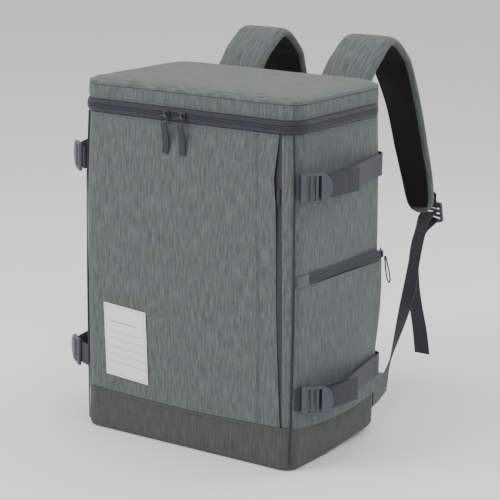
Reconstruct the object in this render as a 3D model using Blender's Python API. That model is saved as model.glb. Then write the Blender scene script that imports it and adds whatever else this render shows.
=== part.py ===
"""Cooler backpack: a padded box bag with a zipped lid, side compression straps and two shoulder straps.

Metres, +Z up. The origin is the centre of the base, the front faces -Y, and the wearer's back is at +Y.
"""
from math import ceil, cos, pi, radians, sin

import bmesh
import bpy
from mathutils import Matrix, Vector

# Bag
BODY_WIDTH = 0.3124
BODY_DEPTH = 0.2002
WALL_HEIGHT = 0.4042
WALL_THICKNESS = 0.006
FLOOR_THICKNESS = 0.006
BODY_BOW = 0.0018
BODY_CORNER = 0.018
BASE_SEAM = 0.0545
BASE_SEAM_DIP = 0.008
BASE_SEAM_SAG = 0.0045
BASE_EDGE = 0.004
BASE_REAR_INSET = 0.020
BASE_REAR_RISE = 0.008
SEAM_GAP = 0.0003

# Lid and the zip round it
ZIP_BAND = 0.0165
ZIP_BULGE = 0.0035
CHAIN_HEIGHT = 0.0046
TAPE_DEPTH = 0.0042
LID_SIDE = 0.0208
LID_CROWN = 0.0075
LID_CORNER = 0.024
LID_PANEL = 0.003

# Front pocket, its covered zip and the corner piping
FRONT_LAYER = 0.0030
STRIP_LAYER = 0.0016
POCKET_TAPE = 0.0010
POCKET_TAPE_WIDTH = 0.014
STRIP_EDGE_TOP = 0.1359
STRIP_EDGE_BASE = 0.1419
PIPING_WIDTH = 0.0024
PIPING_RISE = 0.0016
POCKET_PULL_LENGTH = 0.020
POCKET_PULL_WIDTH = 0.0042
POCKET_PULL_SEAT = 0.3405

# Label
LABEL_WIDTH = 0.0650
LABEL_HEIGHT = 0.0920
LABEL_LAYER = 0.0006
LABEL_X = -0.0892
LABEL_Z = 0.1182
LABEL_TURN = 3.6
LABEL_LEAN = 2.6

# Main zip pulls
SLIDER_SPACING = 0.0235
SLIDER_CENTRE = -0.0122
SLIDER_WIDTH = 0.009
SLIDER_HEIGHT = 0.010
SLIDER_DEPTH = 0.0042
RING_RADIUS = 0.0048
RING_WIRE = 0.0008
TAB_WIDTH = 0.0092
TAB_LAYER = 0.0016
TAB_LENGTH = 0.036

# Side pocket on the right
POCKET_LAYER = 0.0015
POCKET_BULGE = 0.0045
POCKET_SWELL = 0.0052
POCKET_TOP = 0.2248
POCKET_ZIP_HEIGHT = 0.0136
POCKET_ZIP_LAYER = 0.0012
POCKET_ZIP_START = -0.0710
POCKET_ZIP_END = 0.0960
POCKET_BACK = 0.0985
POCKET_CHAIN_HEIGHT = 0.0045
POCKET_CHAIN_LAYER = 0.0014
PATCH_LENGTH = 0.022
SIDE_SLIDER_LENGTH = 0.010
SIDE_SLIDER_HEIGHT = 0.0075
SIDE_SLIDER_DEPTH = 0.0027
PULL_CORD = 0.0018
PULL_CORD_DROP = 0.034
PULL_CORD_WIDTH = 0.0075
PULL_CORD_SLANT = 0.0045

# Webbing and its ladder locks
WEBBING_WIDTH = 0.028
WEBBING_LAYER = 0.0016
LOCK_LENGTH = 0.038
LOCK_HEIGHT = 0.0345
LOCK_DEPTH = 0.0045
LOCK_BAR = 0.007
LOCK_SLOT = 0.0035
LOCK_RIB = 0.0033
LOCK_RIM = 0.0030

# Padded shoulder straps
PAD_THICKNESS = 0.013
LINING_LAYER = 0.0010
LINING_MARGIN = 0.005
BACK_PAD_LAYER = 0.005
BACK_PAD_MARGIN = 0.022
STRAP_LOCK_HEIGHT = 0.036
STRAP_LOCK_LENGTH = 0.030
WING_LAYER = 0.0026
WING_DROP = 0.003

# Mesh fineness, and the heights, as shares of the wall's, that every layer of the wall is shaped at
CORNER_STEPS = 3
SIDE_STEPS = 6
FRONT_STEPS = 8
CORNER_EASE_START = 0.80
BAND_STEPS = 3
WALL_LEVELS = (0.25, 0.36, 0.50, 0.62, 0.72, CORNER_EASE_START, 0.872, 0.94, 1.0)

# Edge of the front pocket's flap: height as a share of the wall, distance from the middle as a share of the width
FLAP_EDGE = (
    (0.135, 0.4465),
    (0.360, 0.4288),
    (0.560, 0.4187),
    (0.720, 0.4173),
    (0.800, 0.4156),
    (0.872, 0.4072),
    (0.940, 0.4173),
    (1.000, 0.4259),
)

# Crown of the lid: share of its size, share of its rise
LID_SECTIONS = (
    (1.000, 0.00),
    (0.985, 0.26),
    (0.930, 0.56),
    (0.780, 0.84),
    (0.520, 0.97),
    (0.160, 1.00),
)

# Compression straps: name, side, height, distance out and back of the lock's bar, turn of the lock, slack
SIDE_STRAPS = (
    ("upper_right", 1, 0.3445, 0.0080, -0.0951, 40.0, 0.92),
    ("lower_right", 1, 0.0895, 0.0078, -0.0886, 46.0, 1.02),
    ("upper_left", -1, 0.3445, 0.0065, -0.0956, 50.0, 1.12),
    ("lower_left", -1, 0.0895, 0.0175, -0.0876, 54.0, 1.40),
)

# Run of a compression strap behind its lock: place as a share of the depth, distance out from the side
STRAP_RUN = (
    (-0.250, 0.0212),
    (-0.060, 0.0222),
    (0.150, 0.0135),
    (0.350, 0.0052),
    (0.440, 0.0026),
)

# Loose tail of a compression strap: place as a share of the depth, distance out from the side
TAIL_RUN = (
    (-0.275, 0.0262),
    (-0.165, 0.0290),
    (-0.040, 0.0308),
)

# Right shoulder pad, middle line from the back panel over the crest to the tip:
# x, y, z, share of full width, turn of the width
PAD_WIDTH = 0.071
PAD_RUN = (
    (0.0800, 0.1126, 0.3825, 1.00, 0.0),
    (0.0800, 0.1129, 0.4005, 1.00, 0.0),
    (0.0800, 0.1210, 0.4235, 1.00, 2.0),
    (0.0797, 0.1385, 0.4438, 1.00, 4.0),
    (0.0795, 0.1575, 0.4615, 1.00, 3.0),
    (0.0782, 0.1950, 0.4808, 0.99, 0.0),
    (0.0795, 0.2325, 0.4585, 0.97, -6.0),
    (0.0818, 0.2482, 0.4375, 0.95, -11.0),
    (0.0862, 0.2715, 0.3855, 0.88, -15.0),
    (0.0925, 0.2825, 0.3315, 0.74, -5.0),
    (0.0990, 0.2890, 0.2915, 0.66, 0.0),
    (0.1030, 0.2925, 0.2600, 0.56, 4.0),
    (0.1040, 0.2940, 0.2480, 0.41, 5.0),
    (0.1042, 0.2948, 0.2425, 0.18, 5.0),
)

# Ladder lock at the tip of the right pad: place of its middle, lean and turn
STRAP_LOCK_PLACE = (0.1100, 0.3180, 0.2395)
STRAP_LOCK_LEAN = 10.0
STRAP_LOCK_TURN = -20.0
LOOP_STAND = 0.0045

# How far the left shoulder strap stands off the back, as a share of the right one's
STRAP_REACH = {1: 1.0, -1: 0.88}

# Right lower strap, from behind the lock down to the wing: x, y, z, and the direction of its width
ADJUSTER_RUN = (
    (0.1085, 0.2948, 0.2310, 0.86, -0.50, 0.00),
    (0.1100, 0.2785, 0.2060, 0.87, -0.48, 0.00),
    (0.1115, 0.2651, 0.1750, 0.88, -0.46, 0.05),
    (0.1145, 0.2498, 0.1450, 0.92, -0.33, 0.20),
    (0.1185, 0.2308, 0.1200, 0.80, -0.22, 0.45),
    (0.1255, 0.2026, 0.0930, 0.60, -0.20, 0.75),
    (0.1345, 0.1718, 0.0725, 0.35, -0.20, 0.90),
    (0.1450, 0.1440, 0.0600, 0.10, -0.20, 0.97),
    (0.1510, 0.1280, 0.0550, 0.00, -0.25, 0.97),
)

# Loose tail of the right lower strap, from the lock to its folded end: x, y, z, turn of the width
LOOSE_RUN = (
    (0.1075, 0.2925, 0.2180, -30.0),
    (0.1055, 0.2842, 0.2040, -30.0),
    (0.1035, 0.2805, 0.1780, -30.0),
    (0.1022, 0.2845, 0.1450, -24.0),
    (0.1022, 0.2925, 0.1120, -16.0),
    (0.1050, 0.3000, 0.0780, -11.0),
    (0.1075, 0.3050, 0.0425, -8.0),
)

# Swell of the side pocket towards its back edge: place along the side as a share of half the depth, share
POCKET_SWELL_ALONG = (
    (0.10, 0.00),
    (0.35, 0.30),
    (0.60, 0.80),
    (0.82, 1.00),
    (1.00, 0.90),
)

# The same, by height: share of the pocket's height, share of the swell
POCKET_SWELL_UP = (
    (0.50, 0.00),
    (0.60, 0.40),
    (0.72, 0.85),
    (0.84, 1.00),
    (1.10, 0.75),
)

# Wing at the lower back corner: share of its length, half height as a share of the webbing's width
WING_SECTIONS = (
    (0.00, 0.80),
    (0.35, 0.76),
    (1.00, 0.48),
)

# Colours: red, green, blue, roughness, metallic
FINISHES = {
    "body fabric": (0.090, 0.104, 0.102, 0.90, 0.0),
    "base fabric": (0.062, 0.070, 0.065, 0.90, 0.0),
    "webbing": (0.030, 0.032, 0.040, 0.80, 0.0),
    "zip tape": (0.028, 0.031, 0.040, 0.75, 0.0),
    "zip metal": (0.060, 0.062, 0.070, 0.35, 0.8),
    "lock plastic": (0.045, 0.048, 0.060, 0.40, 0.0),
    "strap mesh": (0.008, 0.008, 0.009, 0.95, 0.0),
    "label": (0.800, 0.800, 0.790, 0.70, 0.0),
}

HALF_WIDTH = BODY_WIDTH / 2
HALF_DEPTH = BODY_DEPTH / 2
LID_BASE = WALL_HEIGHT + ZIP_BAND
LID_SEAM = LID_BASE + LID_SIDE


def clear_scene():
    """Remove whatever the file holds before the bag is made."""
    for item in list(bpy.data.objects):
        bpy.data.objects.remove(item, do_unlink=True)


def finish(name):
    """Principled material of one finish, made once."""
    if name in bpy.data.materials:
        return bpy.data.materials[name]
    red, green, blue, roughness, metallic = FINISHES[name]
    material = bpy.data.materials.new(name)
    material.use_nodes = True
    shader = material.node_tree.nodes["Principled BSDF"]
    shader.inputs["Base Color"].default_value = (red, green, blue, 1.0)
    shader.inputs["Roughness"].default_value = roughness
    shader.inputs["Metallic"].default_value = metallic
    return material


def place(name, mesh, material):
    """Put a mesh in the scene as one piece of the bag."""
    mesh.shade_smooth()
    mesh.set_sharp_from_angle(angle=radians(35))
    mesh.materials.append(finish(material))
    piece = bpy.data.objects.new(name, mesh)
    bpy.context.scene.collection.objects.link(piece)
    return piece


def solid_through(name, sections, material, ring=False):
    """Closed solid through a row of matching closed sections, capped at both ends or joined in a ring."""
    build = bmesh.new()
    rows = [[build.verts.new(point) for point in section] for section in sections]
    count = len(sections[0])
    last = len(rows) if ring else len(rows) - 1
    for index in range(last):
        near = rows[index]
        far = rows[(index + 1) % len(rows)]
        for side in range(count):
            after = (side + 1) % count
            build.faces.new((near[side], near[after], far[after], far[side]))
    if not ring:
        for row in (rows[0], rows[-1]):
            for side in range(count // 2 - 1):
                build.faces.new((row[side], row[side + 1], row[count - 2 - side], row[count - 1 - side]))
            if count % 2:
                middle = count // 2
                build.faces.new((row[middle - 1], row[middle], row[middle + 1]))
    bmesh.ops.triangulate(build, faces=build.faces)
    bmesh.ops.recalc_face_normals(build, faces=build.faces)
    mesh = bpy.data.meshes.new(name)
    build.to_mesh(mesh)
    build.free()
    return place(name, mesh, material)


def between(table, value):
    """Straight-line reading of a two-column table at one value of its first column."""
    if value <= table[0][0]:
        return table[0][1]
    for (low, low_value), (high, high_value) in zip(table, table[1:]):
        if value <= high:
            return low_value + (high_value - low_value) * (value - low) / (high - low)
    return table[-1][1]


def smooth_run(rows, steps):
    """Points on a smooth curve through the rows of a table, every column read alike."""
    points = []
    for index in range(len(rows) - 1):
        before = rows[max(index - 1, 0)]
        start = rows[index]
        end = rows[index + 1]
        after = rows[min(index + 2, len(rows) - 1)]
        for step in range(steps):
            t = step / steps
            points.append(tuple(
                0.5 * (2 * b + (c - a) * t + (2 * a - 5 * b + 4 * c - d) * t ** 2
                       + (3 * b - a - 3 * c + d) * t ** 3)
                for a, b, c, d in zip(before, start, end, after)))
    points.append(tuple(rows[-1]))
    return points


def body_size(z):
    """Half width, half depth and corner radius of the bag's outline at one height."""
    share = min(max(z / WALL_HEIGHT, 0.0), 1.0)
    half_x = HALF_WIDTH + BODY_BOW * sin(pi * share)
    blend = max(0.0, (share - CORNER_EASE_START) / (1.0 - CORNER_EASE_START))
    radius = BODY_CORNER + (LID_CORNER - BODY_CORNER) * blend
    return half_x, HALF_DEPTH, radius


def wall_heights(low, high=WALL_HEIGHT):
    """Heights that a layer of the wall is shaped at, from its lower edge to its upper one."""
    inner = [WALL_HEIGHT * share for share in WALL_LEVELS if low < WALL_HEIGHT * share < high]
    return [low] + inner + [high]


def around(run, z, offset=0.0):
    """Point on the bag's outline, by its distance round from the middle of the front, right side first."""
    half_x, half_y, radius = body_size(z)
    side = -1.0 if run < 0 else 1.0
    left = abs(run)
    flat_x = half_x - radius
    flat_y = half_y - radius
    turn = radius * pi / 2
    reach = radius + offset
    if left <= flat_x:
        x, y = left, -flat_y - reach
    elif left <= flat_x + turn:
        angle = (left - flat_x) / radius
        x, y = flat_x + reach * sin(angle), -flat_y - reach * cos(angle)
    elif left <= flat_x + turn + 2 * flat_y:
        x, y = flat_x + reach, left - flat_x - turn - flat_y
    else:
        angle = (left - flat_x - turn - 2 * flat_y) / radius
        x, y = flat_x + reach * cos(angle), flat_y + reach * sin(angle)
    return Vector((side * x, y, z))


def corner_run(z, share):
    """Distance round to a front corner: share 0 where the front ends, 1 where the side starts."""
    half_x, _, radius = body_size(z)
    return half_x - radius + share * radius * pi / 2


def side_run(z, y):
    """Distance round to a place on the side, y measured along it and on round the corners."""
    _, half_y, radius = body_size(z)
    return corner_run(z, 1.0) + (half_y - radius) + y


def side_places(start, end):
    """Places along the side from start to end, closer together round the corners."""
    flat = HALF_DEPTH - BODY_CORNER
    places = [start]
    for low, high, spacing in ((start, -flat, BODY_CORNER / 4), (-flat, flat, flat / 3),
                               (flat, end, BODY_CORNER / 4)):
        low = max(low, start)
        high = min(high, end)
        if high > low:
            steps = ceil((high - low) / spacing)
            places += [low + (high - low) * step / steps for step in range(1, steps + 1)]
    return places


def outline_runs(z, part):
    """Distances round for the whole outline, or for the zipped part and the hinged part of it."""
    half_x, half_y, radius = body_size(z)
    turn = radius * pi / 2
    flat_x = half_x - radius
    flat_y = half_y - radius
    marks = [(0.0, flat_x, FRONT_STEPS // 2), (flat_x, flat_x + turn, 2 * CORNER_STEPS),
             (flat_x + turn, flat_x + turn + 2 * flat_y - SEAM_GAP, SIDE_STEPS)]
    zipped = [a + (b - a) * i / n for a, b, n in marks for i in range(n)]
    zipped.append(marks[-1][1])
    back_corner = flat_x + turn + 2 * flat_y
    back = [back_corner + turn * i / (2 * CORNER_STEPS) for i in range(2 * CORNER_STEPS + 1)]
    if part == "zipped":
        return [-run for run in reversed(zipped[1:])] + zipped
    if part == "hinged":
        return back
    return [-run for run in reversed(zipped[1:])] + zipped + back[1:]


def outline(z, offset, part="whole"):
    """Points of the outline at one height, counterclockwise from above."""
    points = [around(run, z, offset) for run in outline_runs(z, part)]
    if part == "zipped":
        return points
    mirrored = [Vector((-point.x, point.y, point.z)) for point in reversed(points[-2 * CORNER_STEPS - 1:])]
    middle = [Vector((0.0, points[-1].y, z))]
    if part == "hinged":
        return points + middle + mirrored
    return points + middle + mirrored[:-1]


def seam_height(point):
    """Height of the seam round the base: sagging a little at the front and back, dipping along the sides."""
    edge = max(0.0, (abs(point.x) - (HALF_WIDTH - BODY_CORNER)) / BODY_CORNER)
    dip = BASE_SEAM_DIP * min(edge, 1.0) * max(0.0, cos(pi * point.y / BODY_DEPTH))
    sag = BASE_SEAM_SAG * max(0.0, cos(pi * point.x / BODY_WIDTH))
    return BASE_SEAM - dip - sag


def rear_share(y):
    """How far a place is towards the back of the base: 0 at the middle of the side, 1 at the back."""
    return min(1.0, max(0.0, (y + HALF_DEPTH * 0.2) / (HALF_DEPTH * 1.2)))


def wall_loop(z, depth):
    """Loop of the padded wall, its front set back under the pocket layer, at a depth inside the outline."""
    loop = []
    for run_side in (-1, 1):
        half_x, half_y, radius = body_size(z)
        turn = radius * pi / 2
        flat_x = half_x - radius
        flat_y = half_y - radius
        front = [(flat_x * i / (FRONT_STEPS // 2), True) for i in range(FRONT_STEPS // 2)]
        front += [(flat_x + turn / 2 * i / CORNER_STEPS, True) for i in range(CORNER_STEPS + 1)]
        side = [(flat_x + turn / 2 + turn / 2 * i / CORNER_STEPS, False) for i in range(CORNER_STEPS)]
        side += [(flat_x + turn + 2 * flat_y * i / SIDE_STEPS, False) for i in range(SIDE_STEPS)]
        corner = flat_x + turn + 2 * flat_y
        side += [(corner + turn * i / (2 * CORNER_STEPS), False) for i in range(2 * CORNER_STEPS + 1)]
        half = []
        for run, recessed in front + side:
            recess = FRONT_LAYER + SEAM_GAP if recessed else 0.0
            point = around(run, z, -recess - depth)
            half.append(Vector((run_side * point.x, point.y, z)))
        loop.append(half)
    left, right = loop
    middle = Vector((0.0, right[-1].y, z))
    return list(reversed(left[1:])) + right + [middle]


def ring_wall(name, levels, material, part="whole"):
    """Wall standing on the outline: levels are (z or height function, outer offset, inner offset)."""
    loops_out = [outline(z, outer, part) for z, outer, inner in levels]
    loops_in = [outline(z, inner, part) for z, outer, inner in reversed(levels)]
    loops = loops_out + loops_in
    sections = [[loop[index] for loop in loops] for index in range(len(loops[0]))]
    return solid_through(name, sections, material, ring=(part == "whole"))


def sheet_on_bag(name, columns, outer, inner, material):
    """Sheet lying on the bag: columns are lists of (run, z) from bottom to top, offsets are functions."""
    sections = []
    for column in columns:
        face = [around(run, z, outer(run, z)) for run, z in column]
        back = [around(run, z, inner(run, z)) for run, z in reversed(column)]
        sections.append(face + back)
    return solid_through(name, sections, material)


def band(name, rows, width, layer, material, steps=4, shape=None, offset=0.0):
    """Flat band along a smooth route: rows are x, y, z, share of width, and the width's direction."""
    shape = shape or ((-0.5, -0.5), (0.5, -0.5), (0.5, 0.5), (-0.5, 0.5))
    route = smooth_run(rows, steps)
    places = [Vector(row[:3]) for row in route]
    sections = []
    for index, row in enumerate(route):
        ahead = places[min(index + 1, len(places) - 1)]
        behind = places[max(index - 1, 0)]
        along = (ahead - behind).normalized()
        across = Vector(row[4:7])
        across = (across - along * across.dot(along)).normalized()
        out = across.cross(along)
        middle = places[index] + out * offset
        sections.append([middle + across * (a * width * row[3]) + out * (b * layer) for a, b in shape])
    return solid_through(name, sections, material)


def block(name, size, material, bevel=0.0):
    """Box centred on the origin, its edges eased."""
    build = bmesh.new()
    bmesh.ops.create_cube(build, size=1.0)
    bmesh.ops.scale(build, vec=Vector(size), verts=build.verts)
    if bevel:
        bmesh.ops.bevel(build, geom=build.edges[:], offset=bevel, segments=1, affect="EDGES")
    mesh = bpy.data.meshes.new(name)
    build.to_mesh(mesh)
    build.free()
    return place(name, mesh, material)


def combine(piece, tools, operation):
    """Cut tools from a piece or join them to it, and take them away."""
    for tool in tools:
        modifier = piece.modifiers.new(operation.lower(), "BOOLEAN")
        modifier.operation = operation
        modifier.object = tool
        modifier.solver = "EXACT"
    depsgraph = bpy.context.evaluated_depsgraph_get()
    mesh = bpy.data.meshes.new_from_object(piece.evaluated_get(depsgraph))
    piece.modifiers.clear()
    piece.data = mesh
    for tool in tools:
        bpy.data.objects.remove(tool, do_unlink=True)


def move(piece, matrix):
    """Bake a place into a piece's mesh."""
    piece.data.transform(matrix)
    if matrix.determinant() < 0:
        piece.data.flip_normals()


def make_body():
    """Padded wall, base cup and back panel."""
    inner_heights = [WALL_HEIGHT, WALL_HEIGHT * CORNER_EASE_START, WALL_HEIGHT / 2, BASE_SEAM]
    loops = [wall_loop(z, 0.0) for z in wall_heights(BASE_SEAM)]
    loops += [wall_loop(z, WALL_THICKNESS) for z in inner_heights]
    for foot in (0, -1):
        loops[foot] = [Vector((p.x, p.y, seam_height(p))) for p in loops[foot]]
    sections = [[loop[index] for loop in loops] for index in range(len(loops[0]))]
    solid_through("main_body", sections, "body fabric", ring=True)

    def base_loop(z, depth, inset=0.0, rise=0.0):
        loop = []
        for point in outline(z, -depth):
            rear = rear_share(point.y)
            narrow = 1.0 - BASE_REAR_INSET * inset * rear / HALF_WIDTH
            shallow = 1.0 - BASE_REAR_INSET * inset * rear / HALF_DEPTH
            loop.append(Vector((point.x * narrow, point.y * shallow, point.z + BASE_REAR_RISE * rise * rear)))
        return loop

    foot = base_loop(0.0, BASE_EDGE, 1.0)
    edge = base_loop(BASE_EDGE * 0.4, BASE_EDGE * 0.3, 0.32, 0.4)
    side = base_loop(BASE_EDGE * 1.4, 0.0, 0.0, 1.0)
    rim = [Vector((p.x, p.y, seam_height(p) - SEAM_GAP)) for p in base_loop(BASE_SEAM, 0.0)]
    inner_rim = [Vector((p.x, p.y, seam_height(p) - SEAM_GAP)) for p in base_loop(BASE_SEAM, WALL_THICKNESS)]
    floor = base_loop(FLOOR_THICKNESS, WALL_THICKNESS + BASE_EDGE * 0.5, 0.6)
    inner_side = base_loop(FLOOR_THICKNESS * 2, WALL_THICKNESS, 0.0, 0.8)
    solid_through("base_cup", [foot, edge, side, rim, inner_rim, inner_side, floor], "base fabric")

    low = BASE_SEAM + BACK_PAD_MARGIN
    high = WALL_HEIGHT - BACK_PAD_MARGIN / 2
    half = HALF_WIDTH - BACK_PAD_MARGIN
    ease = BACK_PAD_LAYER * 0.6
    start = HALF_DEPTH + SEAM_GAP

    def pad_loop(y, inset):
        x = half - inset
        return [Vector(p) for p in ((-x, y, low + inset), (x, y, low + inset), (x, y, high - inset),
                                    (-x, y, high - inset))]
    solid_through("back_pad", [pad_loop(start, 0.0), pad_loop(start + BACK_PAD_LAYER - ease, 0.0),
                               pad_loop(start + BACK_PAD_LAYER, ease)], "strap mesh")


def make_lid():
    """Crowned lid panel, its side, and the zip between lid and wall."""
    chain_low = WALL_HEIGHT + (ZIP_BAND - CHAIN_HEIGHT) / 2
    chain_high = chain_low + CHAIN_HEIGHT
    panel_low = LID_SEAM - LID_PANEL
    ring_wall("lid_side", [(LID_BASE, 0.0, -WALL_THICKNESS), ((LID_BASE + panel_low) / 2, 0.0006, -WALL_THICKNESS),
                           (panel_low - SEAM_GAP, 0.0, -WALL_THICKNESS)], "body fabric")
    loops = [outline(panel_low, 0.0)]
    for share, rise in LID_SECTIONS:
        z = LID_SEAM + LID_CROWN * rise
        loops.append([Vector((p.x * share, p.y * share, z)) for p in outline(z, 0.0)])
    solid_through("lid_top", loops, "body fabric")

    bulge = ZIP_BULGE
    ring_wall("zip_tape_lower", [(WALL_HEIGHT + SEAM_GAP, -0.0008, -TAPE_DEPTH),
                                 ((WALL_HEIGHT + chain_low) / 2, bulge * 0.55, -TAPE_DEPTH),
                                 (chain_low, bulge * 0.8, -TAPE_DEPTH)], "zip tape", "zipped")
    ring_wall("zip_chain", [(chain_low + SEAM_GAP, bulge * 0.75, -TAPE_DEPTH),
                            (chain_low + CHAIN_HEIGHT * 0.3, bulge, -TAPE_DEPTH),
                            (chain_low + CHAIN_HEIGHT * 0.7, bulge, -TAPE_DEPTH),
                            (chain_high - SEAM_GAP, bulge * 0.75, -TAPE_DEPTH)], "zip tape", "zipped")
    ring_wall("zip_tape_upper", [(chain_high, bulge * 0.8, -TAPE_DEPTH),
                                 ((LID_BASE + chain_high) / 2, bulge * 0.55, -TAPE_DEPTH),
                                 (LID_BASE - SEAM_GAP, -0.0008, -TAPE_DEPTH)], "zip tape", "zipped")
    ring_wall("lid_hinge", [(WALL_HEIGHT + SEAM_GAP, 0.0, -TAPE_DEPTH),
                            (LID_BASE - SEAM_GAP, 0.0, -TAPE_DEPTH)], "body fabric", "hinged")


def flap_edge(z):
    """Distance of the pocket flap's edge from the middle of the front."""
    return BODY_WIDTH * between(FLAP_EDGE, z / WALL_HEIGHT)


def strip_edge(z):
    """Distance of the corner strip's edge from the middle of the front."""
    share = (z - BASE_SEAM) / (WALL_HEIGHT - BASE_SEAM)
    return STRIP_EDGE_BASE + (STRIP_EDGE_TOP - STRIP_EDGE_BASE) * share


def make_front():
    """Pocket panel with its flap, the strip beside it, the covered zip, piping and label."""
    levels = wall_heights(BASE_SEAM + SEAM_GAP, WALL_HEIGHT - SEAM_GAP)
    recess = FRONT_LAYER
    fold = POCKET_TAPE_WIDTH * 0.85

    def panel_thickness(run, z):
        covered = run > flap_edge(z) - fold - SEAM_GAP
        return -recess + (POCKET_TAPE + 2 * SEAM_GAP if covered else 0.0)

    def front_column(edge):
        return [(edge(z), z) for z in levels]

    columns = [front_column(lambda z, s=share: -corner_run(z, s)) for share in (0.49, 0.33, 0.16, 0.0)]
    for share in (0.25, 0.5, 0.75):
        columns.append(front_column(lambda z, s=share: -corner_run(z, 0.0)
                                    + s * (corner_run(z, 0.0) + flap_edge(z) - fold)))
    columns.append(front_column(lambda z: flap_edge(z) - fold - 2 * SEAM_GAP))
    columns.append(front_column(lambda z: flap_edge(z) - fold))
    columns.append(front_column(flap_edge))
    sheet_on_bag("front_pocket_panel", columns, lambda run, z: 0.0, panel_thickness, "body fabric")

    strip = [front_column(lambda z, s=share: strip_edge(z) + s * (corner_run(z, 0.49) - strip_edge(z)))
             for share in (0.0, 0.35, 0.7, 1.0)]
    lower = recess - STRIP_LAYER
    sheet_on_bag("front_corner_strip", strip, lambda run, z: -lower * min(1.0, max(0.0,
                 (corner_run(z, 0.49) - run) / (FRONT_LAYER * 2))), lambda run, z: -recess, "body fabric")

    tape = []
    for share in (0.0, 0.5, 0.7, 0.85, 1.0):
        tape.append(front_column(lambda z, s=share: (flap_edge(z) - fold + 2 * SEAM_GAP) * (1 - s)
                                 + (strip_edge(z) - SEAM_GAP) * s))
    sheet_on_bag("front_zip_tape", tape, lambda run, z: -recess + POCKET_TAPE, lambda run, z: -recess, "zip tape")

    pull = block("front_zip_pull", (POCKET_PULL_WIDTH, 0.0011, POCKET_PULL_LENGTH), "webbing", 0.0003)
    seat = (flap_edge(POCKET_PULL_SEAT) + strip_edge(POCKET_PULL_SEAT)) / 2
    move(pull, Matrix.Translation((seat, -HALF_DEPTH + recess - POCKET_TAPE - 0.0010,
                                   POCKET_PULL_SEAT - POCKET_PULL_LENGTH / 2)))

    for name, side in (("corner_piping_right", 1), ("corner_piping_left", -1)):
        sections = []
        for z in wall_heights(BASE_EDGE * 2, WALL_HEIGHT - SEAM_GAP):
            run = corner_run(z, 0.5)
            half = PIPING_WIDTH / 2
            points = [around(run - half, z, SEAM_GAP), around(run + half, z, SEAM_GAP),
                      around(run + half * 0.7, z, SEAM_GAP + PIPING_RISE * 0.8),
                      around(run, z, SEAM_GAP + PIPING_RISE),
                      around(run - half * 0.7, z, SEAM_GAP + PIPING_RISE * 0.8)]
            sections.append([Vector((side * p.x, p.y, p.z)) for p in points])
        solid_through(name, sections, "zip tape")

    label = block("label", (LABEL_WIDTH, LABEL_LAYER, LABEL_HEIGHT), "label")
    skew = Matrix(((1.0, 0.0, -sin(radians(LABEL_LEAN)), 0.0), (0.0, 1.0, 0.0, 0.0),
                   (-sin(radians(LABEL_TURN)), 0.0, 1.0, 0.0), (0.0, 0.0, 0.0, 1.0)))
    move(label, Matrix.Translation((LABEL_X, -HALF_DEPTH - SEAM_GAP - LABEL_LAYER / 2, LABEL_Z)) @ skew)


def make_main_pulls():
    """Two sliders on the lid's zip, each with a wire ring and a webbing tab."""
    zip_middle = WALL_HEIGHT + ZIP_BAND / 2
    face = -HALF_DEPTH - ZIP_BULGE - SEAM_GAP
    for name, side, swing in (("left", -1, -0.0042), ("right", 1, -0.0026)):
        x = SLIDER_CENTRE + side * SLIDER_SPACING / 2
        slider = block("zip_slider_" + name, (SLIDER_WIDTH, SLIDER_DEPTH, SLIDER_HEIGHT), "zip metal", 0.001)
        move(slider, Matrix.Translation((x, face - SLIDER_DEPTH / 2, zip_middle)))

        ring_y = face - SLIDER_DEPTH - RING_WIRE - SEAM_GAP
        ring_z = zip_middle - RING_RADIUS * 1.1
        sections = []
        for step in range(12):
            angle = 2 * pi * step / 12
            middle = Vector((x + RING_RADIUS * cos(angle), ring_y, ring_z + RING_RADIUS * sin(angle)))
            away = Vector((cos(angle), 0.0, sin(angle)))
            sections.append([middle + away * (RING_WIRE * cos(radians(turn)))
                             + Vector((0.0, RING_WIRE * sin(radians(turn)), 0.0)) for turn in range(0, 360, 72)])
        solid_through("pull_ring_" + name, sections, "zip metal", ring=True)

        top = ring_z - RING_RADIUS - RING_WIRE - SEAM_GAP
        rest = -HALF_DEPTH - SEAM_GAP * 2 - TAB_LAYER / 2
        rows = ((x, ring_y, top, 1.0, 1.0, 0.0, 0.0),
                (x + swing * 0.3, (ring_y + rest) / 2, top - TAB_LENGTH * 0.35, 1.0, 1.0, 0.0, 0.0),
                (x + swing * 0.65, rest - 0.0004, top - TAB_LENGTH * 0.7, 1.0, 1.0, 0.0, 0.0),
                (x + swing, rest, top - TAB_LENGTH, 1.0, 1.0, 0.0, 0.0))
        band("pull_tab_" + name, rows, TAB_WIDTH, TAB_LAYER, "webbing", steps=2)


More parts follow.
